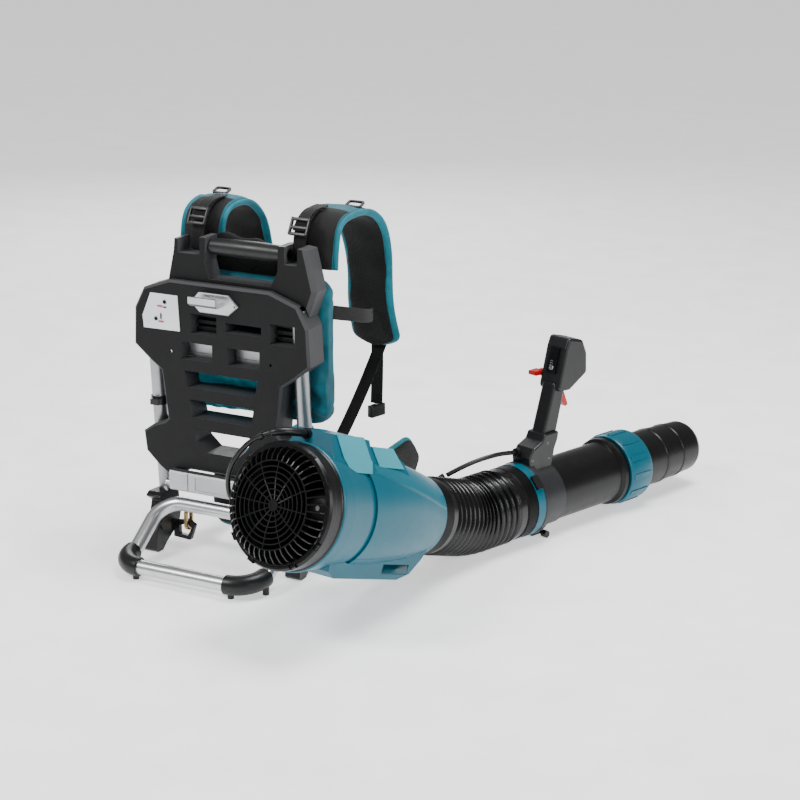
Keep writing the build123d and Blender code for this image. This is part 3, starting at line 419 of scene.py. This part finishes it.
def woven(name, colour, thread, sheen, strength, uv=True, diagonal=False):
    """Woven cloth or webbing: warp and weft threads of the given width in millimetres."""
    made = Shader(name)
    where = made.place((1, 1, 1), uv)
    pitch = 1000.0 / thread
    if diagonal:
        turn = (0, 0, radians(38))
        where = made.node("ShaderNodeMapping", {"Vector": where, "Rotation": turn}).outputs[0]
    waves = {"Vector": where, "Scale": pitch / 6.283, "Distortion": 0.6, "Detail": 1.0,
             "Detail Scale": 2.0}
    warp, weft = [made.node("ShaderNodeTexWave", waves, bands_direction=way).outputs["Fac"]
                  for way in "XY"]
    threads = made.math("MULTIPLY", warp, weft)
    cloud = made.noise(40.0, 4.0)
    made.set(Base_Color=made.mix_colour(made.ranged(cloud, 0.3, 0.7, 0, 1), shade(colour, 0.75),
                                        shade(colour, 1.15)),
             Roughness=made.ranged(threads, 0, 1, 0.72, 0.88))
    made.shader.inputs["Sheen Weight"].default_value = sheen
    made.shader.inputs["Sheen Roughness"].default_value = 0.45
    made.shader.inputs["Specular IOR Level"].default_value = 0.3
    made.bump(threads, 0.0006, strength)
    return made.material


def open_mesh(name, colour, pitch=3.2, uv=True):
    """Spacer mesh: rows of small round holes between soft ridges."""
    made = Shader(name)
    grid = {"Vector": made.place((1, 1.25, 1), uv), "Scale": 1000.0 / pitch, "Randomness": 0.15}
    cells = made.node("ShaderNodeTexVoronoi", grid).outputs["Distance"]
    holes = made.ranged(cells, 0.18, 0.42, 0.0, 1.0)
    # the holes are painted darker than the ridges: painted shade in them
    made.set(Base_Color=made.mix_colour(holes, shade(colour, 0.25), shade(colour, 1.2)),
             Roughness=0.85)
    made.shader.inputs["Sheen Weight"].default_value = 0.06
    made.shader.inputs["Specular IOR Level"].default_value = 0.2
    made.bump(holes, 0.0009, 0.8)
    return made.material


TEAL, PALE_TEAL = (0.0004, 0.092, 0.136), (0.05, 0.29, 0.36)
casing_teal = plastic("casing_teal", TEAL, 0.34, grain=0.06, gloss=0.3)
sleeve_home = nodes["front_sleeve"].matrix_world.inverted()
sleeve_turn = sleeve_home.to_3x3()
# the paler colour passed here is the sleeve's painted highlight
sleeve_teal = creased("sleeve_teal", TEAL, (0.003, 0.15, 0.205), sleeve_home @ at(*FAN_CENTRE),
                      sleeve_turn @ FAN_AXIS, sleeve_turn @ FAN_UP, sleeve_turn @ FAN_RIGHT)
panel_pale = plastic("panel_pale", PALE_TEAL, 0.34, grain=0.06, gloss=0.4)
# the rim colour is a painted highlight on the slanted rims of the plate and the shoulder panel
PLATE_BLACK, PAINTED_EDGE_HIGHLIGHT = (0.0065, 0.0066, 0.007), (0.055, 0.056, 0.059)
plate_black = plastic("plate_black", PLATE_BLACK, 0.5, 0.4, 900.0, 0.18, edges=PAINTED_EDGE_HIGHLIGHT)
panel_grey = plastic("panel_grey", PLATE_BLACK, 0.5, 0.4, 900.0, 0.18, edges=PAINTED_EDGE_HIGHLIGHT)
fitting_black = plastic("fitting_black", (0.006, 0.006, 0.0065), 0.38, grain=0.2, gloss=0.35)
duct_black = plastic("duct_black", (0.004, 0.004, 0.0045), 0.3, grain=0.08, gloss=0.28)
collar_black = plastic("collar_black", (0.0025, 0.0025, 0.0028), 0.46, grain=0.08, gloss=0.1)
grille_black = plastic("grille_black", (0.003, 0.003, 0.0033), 0.24, grain=0.02, gloss=0.5)
pipe_black = plastic("pipe_black", (0.003, 0.003, 0.0035), 0.34, grain=0.05, gloss=0.28)
sleeve_grey = plastic("sleeve_grey", (0.016, 0.0168, 0.019), 0.4, grain=0.2, gloss=0.35)
handle_grey = plastic("handle_grey", (0.007, 0.0073, 0.0082), 0.33, grain=0.2, gloss=0.4)
hose_black = plastic("hose_black", (0.002, 0.002, 0.0022), 0.24, grain=0.01, gloss=0.45)
cord_black = plastic("cord_black", (0.005, 0.005, 0.0055), 0.36, grain=0.08, gloss=0.4)
grip_black = plastic("grip_black", (0.008, 0.008, 0.009), 0.42, 0.35, 800.0, 0.4)
signal_red = plastic("signal_red", (0.45, 0.004, 0.004), 0.34, grain=0.06, gloss=0.4)
impeller_black = plastic("impeller_black", (0.003, 0.003, 0.0033), 0.5, grain=0.2, gloss=0.25)
label_film = plastic("label_film", (0.78, 0.8, 0.82), 0.4, grain=0.03)
mark_grey = plastic("mark_grey", (0.12, 0.125, 0.13), 0.45, grain=0.03)
label_ink = plastic("label_ink", (0.05, 0.05, 0.055), 0.5, grain=0.03)
label_red = plastic("label_red", (0.6, 0.05, 0.05), 0.5, grain=0.03)
window_black = plastic("window_black", (0.003, 0.003, 0.004), 0.16, grain=0.01, coat=0.2)
button_silver = metal("button_silver", (0.62, 0.63, 0.65), 0.3, (1, 1, 1), 0.05)
aluminium = metal("aluminium", (0.62, 0.625, 0.64), 0.3, (40, 40, 1), 0.04, 60.0)
# darker copies of the aluminium: painted shade on the frame tubes and the cross rail
tube_aluminium = metal("tube_aluminium", (0.33, 0.335, 0.345), 0.36, (40, 40, 1), 0.04, 60.0)
rail_aluminium_painted_shade = metal("rail_aluminium_painted_shade", (0.36, 0.365, 0.375), 0.34, (1, 60, 60), 0.05, 60.0)
cast_aluminium = metal("cast_aluminium", (0.42, 0.43, 0.44), 0.42, (1, 1, 1), 0.5, 420.0)
zinc = metal("zinc", (0.6, 0.605, 0.62), 0.33, (1, 1, 1), 0.2, 500.0)
brass = metal("brass", (0.62, 0.43, 0.2), 0.3, (1, 1, 1), 0.1, 500.0)
dark_steel = metal("dark_steel", (0.12, 0.12, 0.125), 0.35, (1, 1, 1), 0.1, 500.0)
steel = metal("steel", (0.55, 0.55, 0.57), 0.28, (1, 1, 1), 0.1, 500.0)
teal_cloth = woven("teal_cloth", (0.002, 0.10, 0.135), 0.9, sheen=0.12, strength=0.35, uv=False)
# the teal cloth again, painted far brighter: painted light on the pouch, which lies in shade behind the
# ladder openings
pouch_cloth_painted_bright = woven("pouch_cloth_painted_bright", (0.02, 0.42, 0.55), 0.9, sheen=0.2, strength=0.35, uv=False)
teal_binding = woven("teal_binding", (0.002, 0.15, 0.20), 1.0, sheen=0.12, strength=0.5,
                     diagonal=True)
black_cloth = woven("black_cloth", (0.005, 0.005, 0.0055), 0.8, sheen=0.06, strength=0.5)
black_webbing = woven("black_webbing", (0.0045, 0.0045, 0.005), 1.5, sheen=0.06, strength=0.9)
black_mesh = open_mesh("black_mesh", (0.008, 0.008, 0.0088))
pad_mesh = open_mesh("pad_mesh", (0.008, 0.008, 0.0088), 4.0, uv=False)

NODE_MATERIALS = {
    "frame_tubes": tube_aluminium, "base_loop": aluminium, "cross_rail": rail_aluminium_painted_shade,
    "cross_casting": cast_aluminium, "swing_arm": cast_aluminium, "hook_plate": zinc,
    "swing_pin": steel, "wing_bolt": zinc, "snap_hook": brass, "back_plate": plate_black,
    "shoulder_panel": panel_grey, "tube_brackets": fitting_black, "corner_covers": fitting_black,
    "tube_clip": fitting_black, "power_socket": fitting_black, "carry_handle": grip_black,
    "label_plate": label_film, "shoulder_rings": dark_steel, "rear_shell": casing_teal,
    "front_sleeve": sleeve_teal, "top_saddle": casing_teal, "base_box": casing_teal,
    "clamp_band": casing_teal, "length_collar": casing_teal, "cover_panels": panel_pale,
    "intake_ring": duct_black, "intake_grille": grille_black, "fan_duct": impeller_black,
    "outlet_collar": collar_black, "hose_cuff": collar_black, "nozzle": pipe_black,
    "blower_pipe": pipe_black, "hose_clip": fitting_black, "cable_fittings": cord_black,
    "handle_relief": cord_black, "power_plug": cord_black, "control_sleeve": sleeve_grey,
    "handle_left": handle_grey, "handle_right": handle_grey, "trigger": signal_red,
    "cruise_lever": signal_red, "power_button": button_silver, "display_panel": window_black,
    "impeller": impeller_black, "motor_housing": impeller_black, "motor_stator": dark_steel,
    "motor_rotor": steel, "motor_bearings": steel, "band_latch": fitting_black,
    "clamp_screw": fitting_black,
}
# edge roundings in millimetres, on the nodes whose moulded or cast edges show
BEVELLED = {
    "back_plate": 1.6, "shoulder_panel": 1.6, "top_saddle": 1.8, "base_box": 1.8, "cover_panels": 0.7,
    "cross_casting": 1.0, "swing_arm": 1.2, "hook_plate": 0.8, "band_latch": 0.8, "cruise_lever": 0.8,
    "trigger": 0.8, "length_collar": 0.8, "tube_brackets": 1.2,
}
WELD_REACH = 0.00002
for node_name, material in NODE_MATERIALS.items():
    node = nodes[node_name]
    node.data.materials.clear()
    node.data.materials.append(material)
    if node_name in BEVELLED:
        weld = node.modifiers.new("weld", "WELD")
        weld.merge_threshold = WELD_REACH
        bevel = node.modifiers.new("bevel", "BEVEL")
        bevel.width = BEVELLED[node_name] / 1000
        bevel.segments = 3
        bevel.limit_method = "ANGLE"
        bevel.angle_limit = radians(32)
        bevel.harden_normals = False

# ---- cords: the same routes as the tubes that they replace -------------------------------------
ring_hug = [(44, 112, 7), (16, 113, 9), (-4, 113, 22), (-9, 112, 38), (-10, 110, 55), (-7, 110, 71),
            (2, 110, 85), (18, 111, 97)]
gap_route = [(150, -172, 186), (141, -134, 166), (127, -104, 145), (109, -84, 127), (90, -70, 114.5),
             (80, -54, SOCKET_Z)]
plug_tail = (80, SOCKET_Y - PLUG_LENGTH, SOCKET_Z)
power_route = [fan_point(*p) for p in ring_hug] + [at(*p) for p in gap_route] + [at(*plug_tail)]
front_route = [pipe_point(6, -8, 84), pipe_point(-22, -9, 89), pipe_point(-58, -15, 88),
               pipe_point(-94, -29, 79), pipe_point(-124, -44, 64)]
rear_route = [pipe_point(-140, -52, 54), pipe_point(-165, -62, 44), fan_point(427, 79, 62),
              fan_point(398, 81, 76), fan_point(368, 81, 86)]


def cord(name, route, node):
    """A cord that bends between two bodies, as a tube round the route's NURBS line."""
    line = smooth_path(route)
    piece = sweep(name, line, round_section(CORD_RADIUS / 1000, CORD_RADIUS / 1000, count=20), None,
                  cord_black)
    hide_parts(node)
    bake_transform(piece)
    return line


power_line = cord("power_cord_flex", power_route, "power_cord")
cord("control_cable_fore", front_route, "control_cable_front")
cord("control_cable_aft", rear_route, "control_cable_rear")

# thicker sleeve on the power cord just past its gland, tapered at its end
CORD_SLEEVE_RADIUS, CORD_SLEEVE_STEPS, CORD_SLEEVE_TAPER = 0.0062, 30, 0.86
sleeve_line = even_steps(power_line, 0.002)[:CORD_SLEEVE_STEPS]
sweep("power_cord_sleeve", sleeve_line, round_section(CORD_SLEEVE_RADIUS, CORD_SLEEVE_RADIUS), "fan",
      cord_black, scale=lambda share: 1.0 - 1.6 * max(0.0, share - CORD_SLEEVE_TAPER))

# ---- hose --------------------------------------------------------------------------------------
HOSE_RADIUS, RIB_HEIGHT, RIB_COUNT = 58.4, 7.6, 14
HOSE_CUFF_RADIUS, HOSE_CUFF_SHARE, HOSE_BORE_RADIUS = 63.0, 0.07, 56.5
HOSE_SIDES, HOSE_REACH = 96, 12
COLLAR_PAST_FAN, CUFF_LENGTH = 26.3, 33.3
hose_start = fan_place(FAN_LENGTH + COLLAR_PAST_FAN, 0, 0)
hose_end = pipe_point(-CUFF_LENGTH, 0, 0)
hose_corner = hose_start + FAN_AXIS * ((hose_start.z - hose_end.z) / -FAN_AXIS.z)
hose_line = even_steps(smooth_path([hose_start, hose_start.lerp(hose_corner, 0.5), hose_corner,
                                    hose_corner.lerp(hose_end, 0.5), hose_end], 40), 0.0012)


def hose_radius(share):
    """Smooth cuffs at both ends and narrow round ribs between them."""
    cuff = HOSE_CUFF_SHARE
    if share < cuff or share > 1 - cuff:
        return HOSE_CUFF_RADIUS
    phase = (share - cuff) / (1 - 2 * cuff) * RIB_COUNT % 1.0
    swell = (0.5 + 0.5 * cos(2 * pi * (phase - 0.5))) ** 1.5
    return HOSE_RADIUS + RIB_HEIGHT * swell


def hose_half(name, low, high, node):
    """The ribbed hose from share low to share high, open right through, bending between two bodies."""
    last = len(hose_line) - 1
    turns = [2 * pi * k / HOSE_SIDES for k in range(HOSE_SIDES)]
    rings = []
    for index, (point, across, normal) in enumerate(frames_along(hose_line, FAN_RIGHT, HOSE_REACH)):
        share = index / last
        if low - 1e-6 <= share <= high + 1e-6:
            radius = hose_radius(share) / 1000
            rings.append([point + across * (radius * cos(a)) + normal * (radius * sin(a))
                          for a in turns])
    inner = []
    for ring in (rings[-1], rings[0]):
        middle = sum(ring, Vector()) / HOSE_SIDES
        inner.append([middle + (p - middle).normalized() * (HOSE_BORE_RADIUS / 1000) for p in ring])
    piece = skin(name, rings + inner, None, hose_black, closed=True)
    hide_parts(node)
    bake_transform(piece)
    return piece


hose_half("hose_rear_ribbed", 0.0, 0.5, "hose_rear")
hose_half("hose_front_ribbed", 0.5, 1.0, "hose_front")

# ---- harness -----------------------------------------------------------------------------------
X_SIDE = Vector((1, 0, 0))


def bump_at(point, scale, amount):
    """A smooth, repeatable unevenness in metres."""
    return noise.noise(point * scale) * amount


# the straps' middle lines seen from the side, as (y, z)
strap_side_left = [(70, 512), (73, 556), (88, 584), (124, 593), (162, 588), (196, 556), (212, 506),
                   (226, 462), (240, 420), (260, 380), (280, 338)]
strap_side_right = [(70, 512), (73, 556), (88, 584), (128, 592), (178, 590), (222, 562), (246, 510),
                    (252, 462), (252, 420), (262, 380), (280, 338)]
STRAP_HALF, STRAP_HALF_THICK = 0.0365, 0.0098
SHOULDER_SHARE, SHOULDER_REACH = 0.47, 0.3      # where along its length a strap passes over the shoulder
STRAP_TIP, STRAP_PATCH = 0.045, (0.24, 0.33)    # shares: the rounded end, and the teal patch
BEND_START, BEND_LENGTH = 0.2, 0.5              # shares over which a strap leans sideways
PAD_SECTION_SIDES = 48


def strap_half(share, flare):
    """Half of the strap's width: full, flared over the shoulder, and rounded off at the bottom."""
    over = max(0.0, 1 - abs(share - SHOULDER_SHARE) / SHOULDER_REACH)
    width = STRAP_HALF * (1 + flare * over * over * (3 - 2 * over))
    left = 1 - share
    width *= 1 + 0.12 * max(0.0, 1 - left / 0.3)
    if left < STRAP_TIP:
        width *= max(0.3, (1 - ((STRAP_TIP - left) / STRAP_TIP) ** 2) ** 0.5)
    return width


def strap(tag, centre_x, route, flare, lean):
    """One padded strap: mesh towards the wearer, cloth outside with a patch over the shoulder.

    flare widens it over the shoulder, and lean moves its middle sideways, in metres.
    """
    line = even_steps(smooth_path([at(centre_x, y, z) for y, z in route]), 0.004)
    rows = frames_along(line, X_SIDE)
    last = len(rows) - 1
    count = PAD_SECTION_SIDES
    section = round_section(1.0, 1.0, 2.8, count)
    body_rings, edges = [], ([], [])
    for index, (point, across, normal) in enumerate(rows):
        share = index / last
        half = strap_half(share, flare)
        bend = min(1.0, max(0.0, (share - BEND_START) / BEND_LENGTH))
        point = point + across * (lean * sin(pi * bend) ** 2)
        ring = []
        for x, y in section:
            place = point + across * (x * half) + normal * (y * STRAP_HALF_THICK)
            place += normal * bump_at(place, 26.0, 0.003)
            ring.append(place)
        body_rings.append(ring)
        edges[0].append(point - across * half)
        edges[1].append(point + across * half)
    pad = skin(f"strap_pad_{tag}", body_rings, "frame", black_mesh)
    pad.data.materials.append(black_cloth)
    pad.data.materials.append(teal_cloth)
    # slots: 0 the mesh towards the wearer, 1 the outer cloth, 2 the teal borders and patch
    for number, face in enumerate(pad.data.polygons[:last * count]):
        share, angle = (number // count) / last, 2 * pi * (number % count + 0.5) / count
        if sin(angle) * facing > 0.12:
            edge = abs(cos(angle)) > 0.84
            patch = STRAP_PATCH[0] < share < STRAP_PATCH[1]
            face.material_index = 2 if edge or patch else 1
    trim = edges[0] + list(reversed(edges[1]))
    binding = sweep(f"strap_binding_{tag}", even_steps(trim, 0.004),
                    round_section(0.0068, 0.004, 2.4, 16), "frame", teal_binding)
    return pad


# which way round a strap's section its outer face lies
facing = -1 if frames_along([at(0, 100, 580), at(0, 150, 590)], X_SIDE)[0][2].z < 0 else 1
strap_left = strap("left", HARNESS_X - STRAP_X, strap_side_left, 0.32, -0.006)
strap("right", HARNESS_X + STRAP_X, strap_side_right, 0.14, 0.0)
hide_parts("shoulder_straps")

WEB_WIDTH, TAIL_WIDTH, WEB_THICK = 23, 22, 1.8
LIFTERS_X = {"left": -62.0, "right": 130.0}


def ribbon(name, points, side=X_SIDE, width=WEB_WIDTH):
    """A flat length of webbing on the frame along points, level across side; width in millimetres."""
    line = even_steps(smooth_path([at(*point) for point in points]), 0.004)
    section = round_section(width / 2000, WEB_THICK / 2000, 6, 20)
    web = sweep(name, line, section, "frame", black_webbing, side=side)
    return web


for tag, x in LIFTERS_X.items():
    ribbon(f"lifter_{tag}", [(x, 46, 525), (x, 45, 548), (x, 50, 572), (x, 68, 594), (x, 98, 605),
                             (x, 122, 604)])
    ribbon(f"lifter_tail_{tag}", [(x, 44, 576), (x, 56, 592), (x, 88, 606), (x + 4, 116, 604)],
           width=TAIL_WIDTH)
ribbon("side_web", [(170, 74, 440), (182, 118, 428), (184, 190, 408), (158, 240, 398)], side=UP)
lower_web = ribbon("lower_web", [(150, 284, 334), (146, 250, 290), (140, 215, 245), (134, 182, 206),
                                 (126, 142, 162), (118, 110, 134), (116, 96, 124), (115, 90, 108)])
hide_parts("webbing")
ribbon("hanging_web", [(141, 288, 334), (141, 289, 290), (139, 288, 224)])

LOCK_RAIL, LOCK_BAR, LOCK_HALF_WIDTH = (4, 30, 5.5), (31, 5, 5), 15.5


def ladder_lock(name, centre, along):
    """A three-bar buckle: two side rails and three bars across the webbing."""
    pieces = []
    for end in (-1, 1):
        place = centre + X_SIDE * (end * LOCK_HALF_WIDTH / 1000)
        pieces.append(block(f"{name}_rail", place, X_SIDE, along, LOCK_RAIL, "frame", fitting_black,
                            0.0011))
    for step in (-13, -2, 12):
        place = centre + along * (step / 1000)
        pieces.append(block(f"{name}_bar", place, X_SIDE, along, LOCK_BAR, "frame", fitting_black))
    return joined(name, pieces)


lock_along = Vector((0, 0.49, 0.87)).normalized()
locks = [ladder_lock(f"ladder_lock_{tag}", at(x, 47, 582), lock_along) for tag, x in LIFTERS_X.items()]
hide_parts("buckles")
web_end = block("web_end", at(139, 288, 212), Vector((0.3, 1, 0)), UP, (34, 22, 12), "frame",
                fitting_black, 0.003, 4)

# hip belt: a U of padded mesh with bound edges, given by its middle line
belt_route = [(-66, 424, 86), (-72, 300, 84), (-79, 150, 84), (-70, 90, 84), (-20, 82, 84), (38, 81, 84),
              (100, 82, 84), (146, 92, 84), (155, 150, 84), (148, 300, 84), (142, 424, 86)]
belt_line = even_steps(smooth_path([at(*p) for p in belt_route]), 0.005)
BELT_HALF, BELT_HALF_THICK, BELT_TIP = 0.045, 0.0115, 0.05


def belt_half(share):
    """Half of the belt's height, rounded off at both tips."""
    tip = min(share, 1 - share) / BELT_TIP
    return BELT_HALF * (1.0 if tip > 1 else max(0.25, (1 - (1 - tip) ** 2) ** 0.5))


belt_rows = frames_along(belt_line, UP)
belt_rings, belt_edges = [], ([], [])
for index, (point, across, normal) in enumerate(belt_rows):
    share = index / (len(belt_rows) - 1)
    half = belt_half(share)
    ring = []
    for x, y in round_section(half, BELT_HALF_THICK, 3.0, 40):
        place = point + across * x + normal * y
        ring.append(place + normal * bump_at(place, 24.0, 0.0018))
    belt_rings.append(ring)
    belt_edges[0].append(point - across * half)
    belt_edges[1].append(point + across * half)
belt = skin("hip_belt_pad", belt_rings, "frame", black_mesh)
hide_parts("hip_belt")
binding_line = even_steps(belt_edges[0] + list(reversed(belt_edges[1])), 0.005)
belt_binding = sweep("hip_belt_binding", binding_line + [binding_line[0]],
                     round_section(0.0048, 0.0036, 2.4, 14), "frame", teal_binding)

# back pad: blown up by cloth simulation, with a folded lower pouch towards the ladder openings
PAD_BOX = ((-101, 60, 247), (177, 84, 497))
PAD_CORNER, PAD_VOXEL = 34, 0.006
PAD_PRESSURE, PAD_CAP, PAD_SHRINK, CLOTH_FRAMES = 3.0, 0.006, -0.03, 20
FOLD_TOP, FOLD_FADE, FOLD_DEPTH = 346, 0.016, 0.0105
PAD_MIDDLE_Y = 72
POUCH_EDGE = (78, 0, 338)


def pad_form(name, low, high, corner, voxel):
    """A rounded flat block, remeshed evenly, ready to be blown up."""
    centre = (at(*low) + at(*high)) / 2
    size = at(*high) - at(*low)
    work = bmesh.new()
    bmesh.ops.create_cube(work, size=1.0)
    for vertex in work.verts:
        vertex.co = centre + Vector([vertex.co[i] * size[i] for i in range(3)])
    upright = [e for e in work.edges if abs((e.verts[0].co - e.verts[1].co).normalized().y) > 0.9]
    bmesh.ops.bevel(work, geom=upright, offset=corner / 1000, segments=8, profile=0.5, affect="EDGES")
    mesh = bpy.data.meshes.new(name)
    work.to_mesh(mesh)
    work.free()
    piece = bpy.data.objects.new(name, mesh)
    bpy.context.scene.collection.objects.link(piece)
    remesh = piece.modifiers.new("remesh", "REMESH")
    remesh.mode, remesh.voxel_size = "VOXEL", voxel
    bake(piece)
    return piece


def bake(piece):
    """Applies a piece's modifiers to its mesh."""
    graph = bpy.context.evaluated_depsgraph_get()
    mesh = bpy.data.meshes.new_from_object(piece.evaluated_get(graph))
    piece.modifiers.clear()
    piece.data = mesh


def inflate(piece, pressure, cap):
    """Cloth simulation with inner pressure; no point moves further than cap."""
    rest = [v.co.copy() for v in piece.data.vertices]
    cloth = piece.modifiers.new("cloth", "CLOTH")
    cloth.settings.use_pressure = True
    cloth.settings.uniform_pressure_force = pressure
    cloth.settings.shrink_min = PAD_SHRINK
    cloth.settings.effector_weights.gravity = 0
    cloth.settings.quality = 6
    cloth.settings.tension_stiffness = cloth.settings.compression_stiffness = 12
    scene = bpy.context.scene
    for number in range(1, CLOTH_FRAMES + 1):
        scene.frame_set(number)
    bake(piece)
    scene.frame_set(1)
    for vertex, start in zip(piece.data.vertices, rest):
        move = vertex.co - start
        if move.length > cap:
            vertex.co = start + move.normalized() * cap


back_pad = pad_form("back_pad_shell", *PAD_BOX, PAD_CORNER, PAD_VOXEL)
inflate(back_pad, PAD_PRESSURE, PAD_CAP)
for vertex in back_pad.data.vertices:
    # sharp-crested folds, deep towards the frame and faint towards the wearer
    place = vertex.co
    low = max(0.0, min(1.0, (at(0, 0, FOLD_TOP).z - place.z) / FOLD_FADE))
    wave = noise.noise(Vector((place.x * 13 + place.z * 8, place.z * 46 + place.x * 14, 2.0)))
    fold = (1 - min(1.0, abs(wave) * 3.4)) * FOLD_DEPTH * low
    behind = place.y < at(0, PAD_MIDDLE_Y, 0).y
    vertex.co = place + Vector((0, -fold if behind else fold * 0.2, 0))
back_pad.data.polygons.foreach_set("use_smooth", [True] * len(back_pad.data.polygons))
back_pad.data.materials.append(teal_cloth)
back_pad.data.materials.append(pad_mesh)
back_pad.data.materials.append(pouch_cloth_painted_bright)
# slots: 0 the teal cloth, 1 the mesh towards the wearer, 2 the pouch behind the ladder openings, in teal
# cloth painted brighter as painted light where it lies in shade
pouch_edge = at(*POUCH_EDGE)
for face in back_pad.data.polygons:
    in_pouch = face.center.z < pouch_edge.z and face.center.x < pouch_edge.x
    painted_bright_behind_ladder = in_pouch and face.normal.y < -0.2
    face.material_index = 1 if face.normal.y > 0.75 else 2 if painted_bright_behind_ladder else 0
subdivide = back_pad.modifiers.new("subdivide", "SUBSURF")
subdivide.levels = subdivide.render_levels = 1
bake(back_pad)
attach(back_pad, "frame")
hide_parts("back_pad")

# black mesh yoke that joins the pad to both straps, behind the carrying handle
YOKE_STEPS, YOKE_LEFT, YOKE_WIDTH = 24, -100, 210
YOKE_TOP, YOKE_DROP, YOKE_BOTTOM, YOKE_HALF_THICK = 552, 22, 486, 0.008
yoke_rings = []
for step in range(YOKE_STEPS + 1):
    x = YOKE_LEFT + YOKE_WIDTH * step / YOKE_STEPS
    top = YOKE_TOP - YOKE_DROP * (step / YOKE_STEPS) ** 3 + 3 * sin(step * 0.9)
    middle_z, half_z = (top + YOKE_BOTTOM) / 2, (top - YOKE_BOTTOM) / 2
    ring = []
    for y, z in round_section(YOKE_HALF_THICK, half_z / 1000, 3.0, 32):
        place = at(x, PAD_MIDDLE_Y, middle_z) + Vector((0, y, z))
        ring.append(place + Vector((0, bump_at(place, 16.0, 0.003), 0)))
    yoke_rings.append(ring)
yoke = skin("harness_yoke", yoke_rings, "frame", black_mesh)

# ---- small marks and fittings ------------------------------------------------------------------
# plain marks on the blank label: round ones where the width is the height, else bars
LABEL_Y, MARK_THICK, MARK_RIM = 3.4, 0.5, 1.2
LABEL_MARKS = [(-104, 441, 7, 7, label_ink), (-114, 433, 10, 3, label_red),
               (-104, 432, 7, 2.5, label_ink), (-122, 411, 7, 7, label_ink),
               (-112, 416, 3, 10, label_ink), (-112, 407, 10, 3, label_red)]
for number, (x, z, width, height, ink) in enumerate(LABEL_MARKS):
    mark_name = f"label_mark_{number}"
    if width == height:
        outer, inner = width / 2, width / 2 - MARK_RIM
        rim = [(0, inner), (MARK_THICK, inner), (MARK_THICK, outer), (0, outer)]
        mark = turned(mark_name, at(x, LABEL_Y + 0.2, z), Vector((0, -1, 0)), rim, "frame", ink, 24)
    else:
        mark = block(mark_name, at(x, LABEL_Y, z), X_SIDE, UP, (width, height, MARK_THICK), "frame",
                     ink, 0.0002, 1)

# five level marks above the power button, on the display's slanted face
SCREEN_TILT, LEVEL_PITCH = radians(16), 3.6
screen_out = -PIPE_AXIS * cos(SCREEN_TILT) + UP * sin(SCREEN_TILT)
screen_up = PIPE_RIGHT.cross(screen_out)
for number in range(5):
    climb = (number * LEVEL_PITCH + 2) / 1000
    place = pipe_point(90.7, 0, 236) + screen_up * climb + screen_out * 0.0037
    light = block(f"level_mark_{number}", place, PIPE_RIGHT, screen_up, (6, 1.1, MARK_THICK), "pipe",
                  mark_grey, 0.0002, 1)

# clips that hold the grille in the intake rim, by their turn from straight up
for number, turn in enumerate((-28, -62, -118, -150, 52, 130, 160)):
    out = FAN_UP * cos(radians(turn)) - FAN_RIGHT * sin(radians(turn))
    clip = block(f"rim_clip_{number}", fan_point(-2.5, 95, turn), FAN_AXIS.cross(out), out, (11, 5, 5),
                 "fan", duct_black)
badge = block("badge_blank", fan_place(250, 54.8, -81), FAN_AXIS, FAN_UP, (62, 11, 2.4), "fan",
              casing_teal, 0.001)

# dished screw heads on the handle's right side, as (along the pipe, up)
SCREW_OUT = 20.3
SCREW_PROFILE = [(0, 0.4), (0, 3.0), (0.7, 3.0), (1.1, 2.5), (1.0, 1.2), (0.5, 0.4)]
for number, (d, up) in enumerate(((20, 72), (62, 68), (58, 96))):
    screw = turned(f"handle_screw_{number}", pipe_point(d, SCREW_OUT, up), PIPE_RIGHT, SCREW_PROFILE,
                   "pipe", dark_steel, 20)

# ---- light, floor and finish -------------------------------------------------------------------
def area_light(name, place, target, size, power):
    """A square light, in metres and watts, turned towards its target."""
    light = bpy.data.lights.new(name, "AREA")
    light.size, light.energy = size, power
    lamp = bpy.data.objects.new(name, light)
    bpy.context.scene.collection.objects.link(lamp)
    lamp.location = place
    lamp.rotation_euler = (Vector(target) - Vector(place)).to_track_quat("-Z", "Y").to_euler()


area_light("key_light", (-1.5, -2.3, 2.7), (0, 0, 0.3), 0.9, 85)
area_light("fill_light", (2.9, -1.4, 1.5), (0, 0, 0.25), 1.4, 42)
area_light("top_light", (0.5, 0.3, 2.6), (0.1, 0, 0.2), 1.1, 75)
area_light("rear_light", (-1.8, 2.4, 1.6), (0, 0, 0.3), 1.2, 30)
# the backdrop is seen bright, while it lights the machine only a little
WORLD_LIGHT, WORLD_SEEN = 0.3, 4.0
world = bpy.data.worlds.new("studio")
bpy.context.scene.world = world
world.use_nodes = True
world_nodes, world_links = world.node_tree.nodes, world.node_tree.links
background = world_nodes["Background"]
background.inputs["Color"].default_value = (1, 1, 1, 1)
seen = world_nodes.new("ShaderNodeLightPath")
level = world_nodes.new("ShaderNodeMapRange")
level.inputs["To Min"].default_value = WORLD_LIGHT
level.inputs["To Max"].default_value = WORLD_SEEN
world_links.new(seen.outputs["Is Camera Ray"], level.inputs["Value"])
world_links.new(level.outputs[0], background.inputs["Strength"])
FLOOR_GLOW, FLOOR_HALF = 0.75, 12.0
floor_material = plastic("floor_white", (0.9, 0.9, 0.9), 0.7, grain=0.0, gloss=0.1)
floor_shader = floor_material.node_tree.nodes["Principled BSDF"]
floor_shader.inputs["Emission Color"].default_value = (1, 1, 1, 1)
floor_shader.inputs["Emission Strength"].default_value = FLOOR_GLOW
corners = [(x * FLOOR_HALF, y * FLOOR_HALF, 0) for x, y in ((-1, -1), (1, -1), (1, 1), (-1, 1))]
floor = add_piece("floor", corners, [(0, 1, 2, 3)], None, floor_material, smooth=False)
